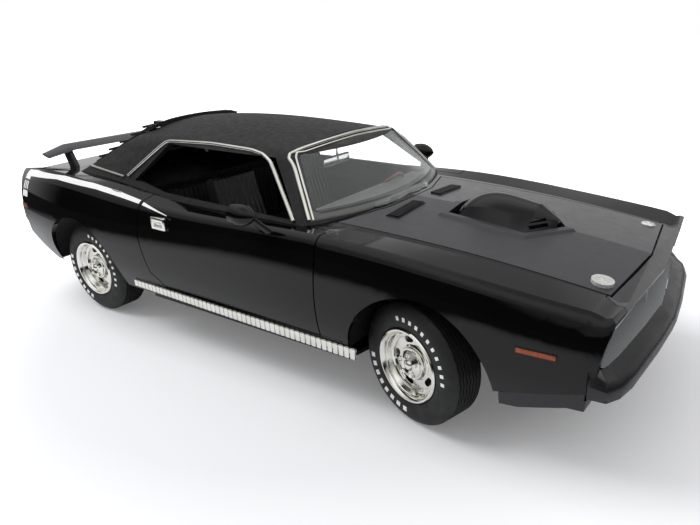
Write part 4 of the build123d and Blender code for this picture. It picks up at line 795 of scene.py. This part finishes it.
# ---- Engine ----------------------------------------------------
# One plastic block under the scoop, sprayed in orange engine enamel and glued to the pan.
engine_enamel = new_material("engine_enamel", "#B4471B", 0.3, (6, "#A63F17", "#C04E20"),
                             grain=(0.6, 0.01))
finish_node(engine_enamel, "engine_block")

# ---- Hood pins -------------------------------------------------
# Two bright silvered scuff plates on the hood's front corners, pressed in from above: each is a
# shallow dished disc with a low pin head and its clip.
PIN_PLACES = ((116.2, -27.1), (116.2, 27.1))
PIN_RADIUS, PIN_HEIGHT = 2.15, 0.5
PIN_INSETS = ((0.3, 0.22), (0.35, 0.16), (0.35, 0.04), (0.3, -0.16), (0.25, 0.3), (0.25, 0.12))
ABOVE = 90  # mm over the table, from where places on the hood are cast
pin_silver = new_material("bright_silver_plate", "#F6F6F2", 0.2, (1.2, "#E6E6E0", "#FFFFFF"),
                          (0.8, 0.12, 0.3), (0.5, 0.02), {"Metallic": 0.5})


def stand_on(name, x, y, lift=0.0):
    """A place on a CAD node's top at x and y in mm, leaning as its surface does there, or None."""
    hit, spot, lean, _ = frame["nodes"][name].ray_cast(Vector((x, y, ABOVE)) * MM, Vector((0, 0, -1)))
    if hit:
        return (Matrix.Translation(spot + lean * lift * MM)
                @ lean.to_track_quat("Z", "Y").to_matrix().to_4x4())


pins = []
for x, y in PIN_PLACES:
    bpy.ops.object.select_all(action="DESELECT")
    bpy.ops.mesh.primitive_cylinder_add(vertices=48, radius=PIN_RADIUS * MM, depth=PIN_HEIGHT * MM)
    disc = bpy.context.object
    inset_faces(disc, (0, 0, 1), PIN_INSETS)
    bpy.ops.object.select_all(action="DESELECT")
    bpy.ops.mesh.primitive_torus_add(major_radius=0.75 * MM, minor_radius=0.13 * MM, major_segments=28,
                                     minor_segments=8, location=(0.5 * MM, 0, 0.75 * MM),
                                     rotation=(0, 0.25, 0))
    clip = set_down(bpy.context.object)
    pins.append(set_down(join([disc, clip]), stand_on("hood", x, y)))
finish_piece(join(pins), "hood_pin_plates", pin_silver, "hood_assembly", "chrome_plating", "hood_pins",
             angle=38)

# ---- Hood vents ------------------------------------------------
# Two flat louvred grilles near the cowl, moulded in matt black ABS with fine cross slats, and glued in.
SLATS, SLAT_SIZE, SLAT_EDGE, SLAT_LIFT = 15, (4.2, 0.5, 0.35), 0.1, 0.1
VENT_X, VENT_Y = 51.0, (5.6, 21.6)
vent_black = new_material("vent_black_abs", "#0E0E0F", 0.5, None, (1, 0.42, 0.58), (0.3, 0.01))
slats = []
for side, _ in SIDES:
    for step in range(SLATS):
        y = side * (VENT_Y[0] + (VENT_Y[1] - VENT_Y[0]) * (step + 0.5) / SLATS)
        slat = moulded_box((0, 0, 0), SLAT_SIZE, SLAT_EDGE, 1)
        slat.matrix_world = (stand_on("hood_vents", VENT_X, y, SLAT_LIFT)
                             or stand_on("hood", VENT_X, y, SLAT_LIFT))
        slat.rotation_euler.z = 0
        slats.append(set_down(slat))
finish_piece(join(slats), "hood_vent_slats", vent_black, "hood_assembly", "black_plastic", angle=30)

# ---- Tyres -----------------------------------------------------
# Soft matt black PVC tyres with wavy tread grooves, pushed on to the rims. White plain bars are
# pad-printed in flat ink around the outer side wall, small ones above and larger ones below.
TYRE_HALF = ((11.2, 5.4), (11.5, 6.0), (12.3, 6.25), (13.5, 6.3), (15.0, 6.25), (16.2, 6.0), (17.2, 5.5),
             (17.9, 4.95), (18.25, 4.5))
TREAD_RADIUS, TREAD_HALF, GROOVE_RADIUS = 18.4, 4.2, 17.9
GROOVE_HALF, GROOVE_FLOOR = 0.28, 0.168
GROOVES = (-3.75, -2.5, -1.25, 0.0, 1.25, 2.5, 3.75)
TURNS, WAVES, WAVE = 180, 36, 0.2
WAVE_RADIUS, WAVE_HALF = 17.8, 4.1
BAR_MIDDLE, BAR_DEPTH, BAR_EDGE = (14.25, -6.28, 0), 0.2, 0.06
# Rows of bars: from and to, in degrees round the tyre, how many, and each one's width and height.
BAR_ROWS = ((103, 2, 11, 1.0, 1.25), (188, 268, 8, 1.5, 1.55))
WHEELS = {"front_left": 0, "front_right": 0, "rear_left": -20, "rear_right": -20}  # degrees rolled
rubber = new_material("tyre_pvc", "#191A18", 0.6, (7, "#161715", "#1F201E"), (3, 0.5, 0.68),
                      (0.25, 0.012))
print_white = new_material("pad_print_white", "#FFFFFF", 0.5, (2, "#F8F8F6", "#FFFFFF"), (1, 0.42, 0.58),
                           (0.4, 0.006))


def spin_section(points, steps):
    """A ring: a section of (radius, across) points in mm, drawn edge by edge and spun round the Y axis."""
    ring = draw_line([(radius, across, 0) for radius, across in points])
    bpy.ops.mesh.spin(steps=steps, angle=2 * math.pi, center=(0, 0, 0), axis=(0, 1, 0))
    bpy.ops.mesh.select_all(action="SELECT")
    bpy.ops.mesh.remove_doubles(threshold=MERGE)
    bpy.ops.mesh.normals_make_consistent(inside=False)
    bpy.ops.object.mode_set(mode="OBJECT")
    return ring


def wheel_place(name):
    """Where a wheel stands: its outer side is local -Y, as a viewer beside the car sees it."""
    joint = next(j for j in frame["joints"] if j["name"] == "spin_" + name)
    spot = Vector(joint["pos"] if "pos" in joint else joint["pos_m"])
    out = Vector(joint["axis"]) * (1 if "left" in name else -1)
    return Matrix.Translation(spot) @ Matrix.Rotation(math.atan2(out.x, -out.y), 4, "Z")


tread = [(TREAD_RADIUS, TREAD_HALF)]
for groove in reversed(GROOVES):
    tread += [(TREAD_RADIUS, groove + GROOVE_HALF), (GROOVE_RADIUS, groove + GROOVE_FLOOR),
              (GROOVE_RADIUS, groove - GROOVE_FLOOR), (TREAD_RADIUS, groove - GROOVE_HALF)]
tread += [(TREAD_RADIUS, -TREAD_HALF)]
inner_half = [(radius, -across) for radius, across in reversed(TYRE_HALF)]
tyre = spin_section([*TYRE_HALF, *tread, *inner_half, TYRE_HALF[0]], TURNS)
for point in tyre.data.vertices:
    if math.hypot(point.co.x, point.co.z) > WAVE_RADIUS * MM and abs(point.co.y) < WAVE_HALF * MM:
        point.co.y += WAVE * MM * math.sin(WAVES * math.atan2(point.co.z, point.co.x))
bars = []
for start, end, count, width, height in BAR_ROWS:
    for step in range(count):
        angle = math.radians(start + (end - start) * step / (count - 1))
        bar = moulded_box(BAR_MIDDLE, (height, BAR_DEPTH, width), BAR_EDGE, 2)
        bars.append(set_down(bar, Matrix.Rotation(-angle, 4, "Y")))
bars = join(bars)
for name, roll in WHEELS.items():
    stand = wheel_place(name) @ Matrix.Rotation(-math.radians(roll), 4, "Y")
    finish_piece(copy_piece(tyre, stand), "tyre_tread_" + name, rubber, "wheel_" + name, "tyre_rubber",
                 "tyre_" + name, angle=32)
    finish_piece(copy_piece(bars, stand), "tyre_bars_" + name, print_white, "wheel_" + name, "tyre_rubber")
bpy.data.objects.remove(tyre)
bpy.data.objects.remove(bars)

# ---- Wheels ----------------------------------------------------
# Chromed rally wheels: the slotted disc is the CAD rim, dressed with a rolled trim ring, a step ring, a
# raised hub ring, five lug nuts and a small domed cap, all moulded with it in metallised ABS.
TRIM_RING = ((11.15, -5.2), (11.2, -6.1), (10.9, -6.5), (10.4, -6.5), (10.0, -6.1), (9.7, -5.3), (9.5, -4.2),
             (9.9, -4.2), (10.3, -5.0), (10.8, -5.1), (11.15, -5.2))
STEP_RING = ((8.9, -3.0), (8.9, -3.5), (8.5, -3.75), (8.1, -3.5), (8.1, -3.0), (8.9, -3.0))
HUB_RING = ((4.9, -3.0), (4.9, -3.9), (4.6, -4.4), (4.2, -4.4), (3.9, -3.9), (3.9, -3.0), (4.9, -3.0))
RING_STEPS = 72
NUTS, NUT_MIDDLE, NUT_RADIUS, NUT_HEIGHT, NUT_START = 5, (2.95, -5.0, 0), 0.8, 2.0, 0.3
NUT_INSETS = ((0.15, 0.2), (0.25, -0.35))
CAP_RADIUS, CAP_FACE, CAP_FLATTEN = 1.5, -5.0, 0.8
finish_node(chrome, "rim_front_left", "rim_front_right", "rim_rear_left", "rim_rear_right")
fittings = [spin_section(ring, RING_STEPS) for ring in (TRIM_RING, STEP_RING, HUB_RING)]
for step in range(NUTS):
    bpy.ops.object.select_all(action="DESELECT")
    bpy.ops.mesh.primitive_cylinder_add(vertices=6, radius=NUT_RADIUS * MM, depth=NUT_HEIGHT * MM,
                                        rotation=(math.pi / 2, 0, 0))
    nut = set_down(bpy.context.object)
    inset_faces(nut, (0, -1, 0), NUT_INSETS)
    fittings.append(set_down(nut, Matrix.Rotation(-2 * math.pi * step / NUTS - NUT_START, 4, "Y")
                             @ Matrix.Translation(Vector(NUT_MIDDLE) * MM)))
bpy.ops.object.select_all(action="DESELECT")
bpy.ops.mesh.primitive_uv_sphere_add(segments=28, ring_count=14, radius=CAP_RADIUS * MM,
                                     location=(0, CAP_FACE * MM, 0), scale=(1, CAP_FLATTEN, 1))
fittings.append(set_down(bpy.context.object))
fittings = join(fittings)
for name in WHEELS:
    finish_piece(copy_piece(fittings, wheel_place(name)), "wheel_trim_" + name, chrome, "wheel_" + name,
                 "chrome_plating", angle=40)
bpy.data.objects.remove(fittings)

# ---- Seats -----------------------------------------------------
# Bucket seats and rear bench are hard ABS mouldings with pleats in their faces, sprayed satin black and
# pressed into the tub.
PLEAT_PITCH = 2.2
seat_vinyl = new_material("satin_black_moulding", "#1A1A1B", 0.42, (6, "#171718", "#202022"),
                          (1.5, 0.36, 0.5))
pleats = add_node(seat_vinyl.node_tree, "TexWave",
                  {"Vector": piece_place(seat_vinyl), "Scale": 1 / (PLEAT_PITCH * MM * WAVE_LINES)},
                  bands_direction="Y")
work_in(seat_vinyl, grain=(pleats.outputs["Fac"], 0.35))
finish_node(seat_vinyl, "seat_left", "seat_right", "rear_bench")

# ---- Steering wheel --------------------------------------------
# A thin wood-look rim on three metal spokes: a streaky brown ABS ring, semi-gloss, glued to a chromed
# centre.
RIM_TUBE, RIM_OVAL = 0.62, 1.15
SPOKE_WIDTH, SPOKE_THICK, SPOKE_EDGE, SPOKE_SINK = 1.3, 0.4, 0.12, 0.1
HUB_SHARE, HUB_HEIGHT, HUB_EDGE = 0.2, 1.2, 0.25
STREAK_PITCH = 4 / WAVE_LINES  # 1.26 mm
box_low, box_high = (Vector(corner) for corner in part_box("steering_wheel"))
wheel_radius = (box_high.y - box_low.y) / 2 / MM - RIM_TUBE
lean = math.atan2(box_high.x - box_low.x, box_high.z - box_low.z)
stand = (Matrix.Translation((box_low + box_high) / 2)
         @ Matrix.Rotation(-(math.pi / 2 - lean), 4, "Y"))
wood = new_material("brown_wood_look_abs", "#7A3F22", 0.3)
streaks = add_node(wood.node_tree, "TexWave",
                   {"Vector": piece_place(wood), "Scale": 1 / (STREAK_PITCH * MM * WAVE_LINES),
                    "Distortion": 3.0, "Detail": 2.0})
work_in(wood, (streaks.outputs["Fac"], "#6A331B", "#8C4B2B"), grain=(streaks.outputs["Fac"], 0.02))
bpy.ops.object.select_all(action="DESELECT")
bpy.ops.mesh.primitive_torus_add(major_radius=wheel_radius * MM, minor_radius=RIM_TUBE * MM,
                                 major_segments=64, minor_segments=12)
rim = bpy.context.object
for point in rim.data.vertices:
    point.co.z *= RIM_OVAL
rim.matrix_world = stand
finish_piece(rim, "steering_rim", wood, "body", "wood_rim", "steering_wheel", angle=60)
spokes = [set_down(moulded_disc(32, wheel_radius * HUB_SHARE, HUB_HEIGHT, HUB_EDGE, 3), stand)]
for degrees in (0, 120, 240):
    spoke = moulded_box((wheel_radius / 2, 0, -SPOKE_SINK), (wheel_radius, SPOKE_WIDTH, SPOKE_THICK),
                        SPOKE_EDGE, 2)
    spokes.append(set_down(spoke, stand @ Matrix.Rotation(math.radians(degrees), 4, "Z")))
finish_piece(join(spokes), "steering_spokes", chrome, "body", "chrome_plating", angle=40)
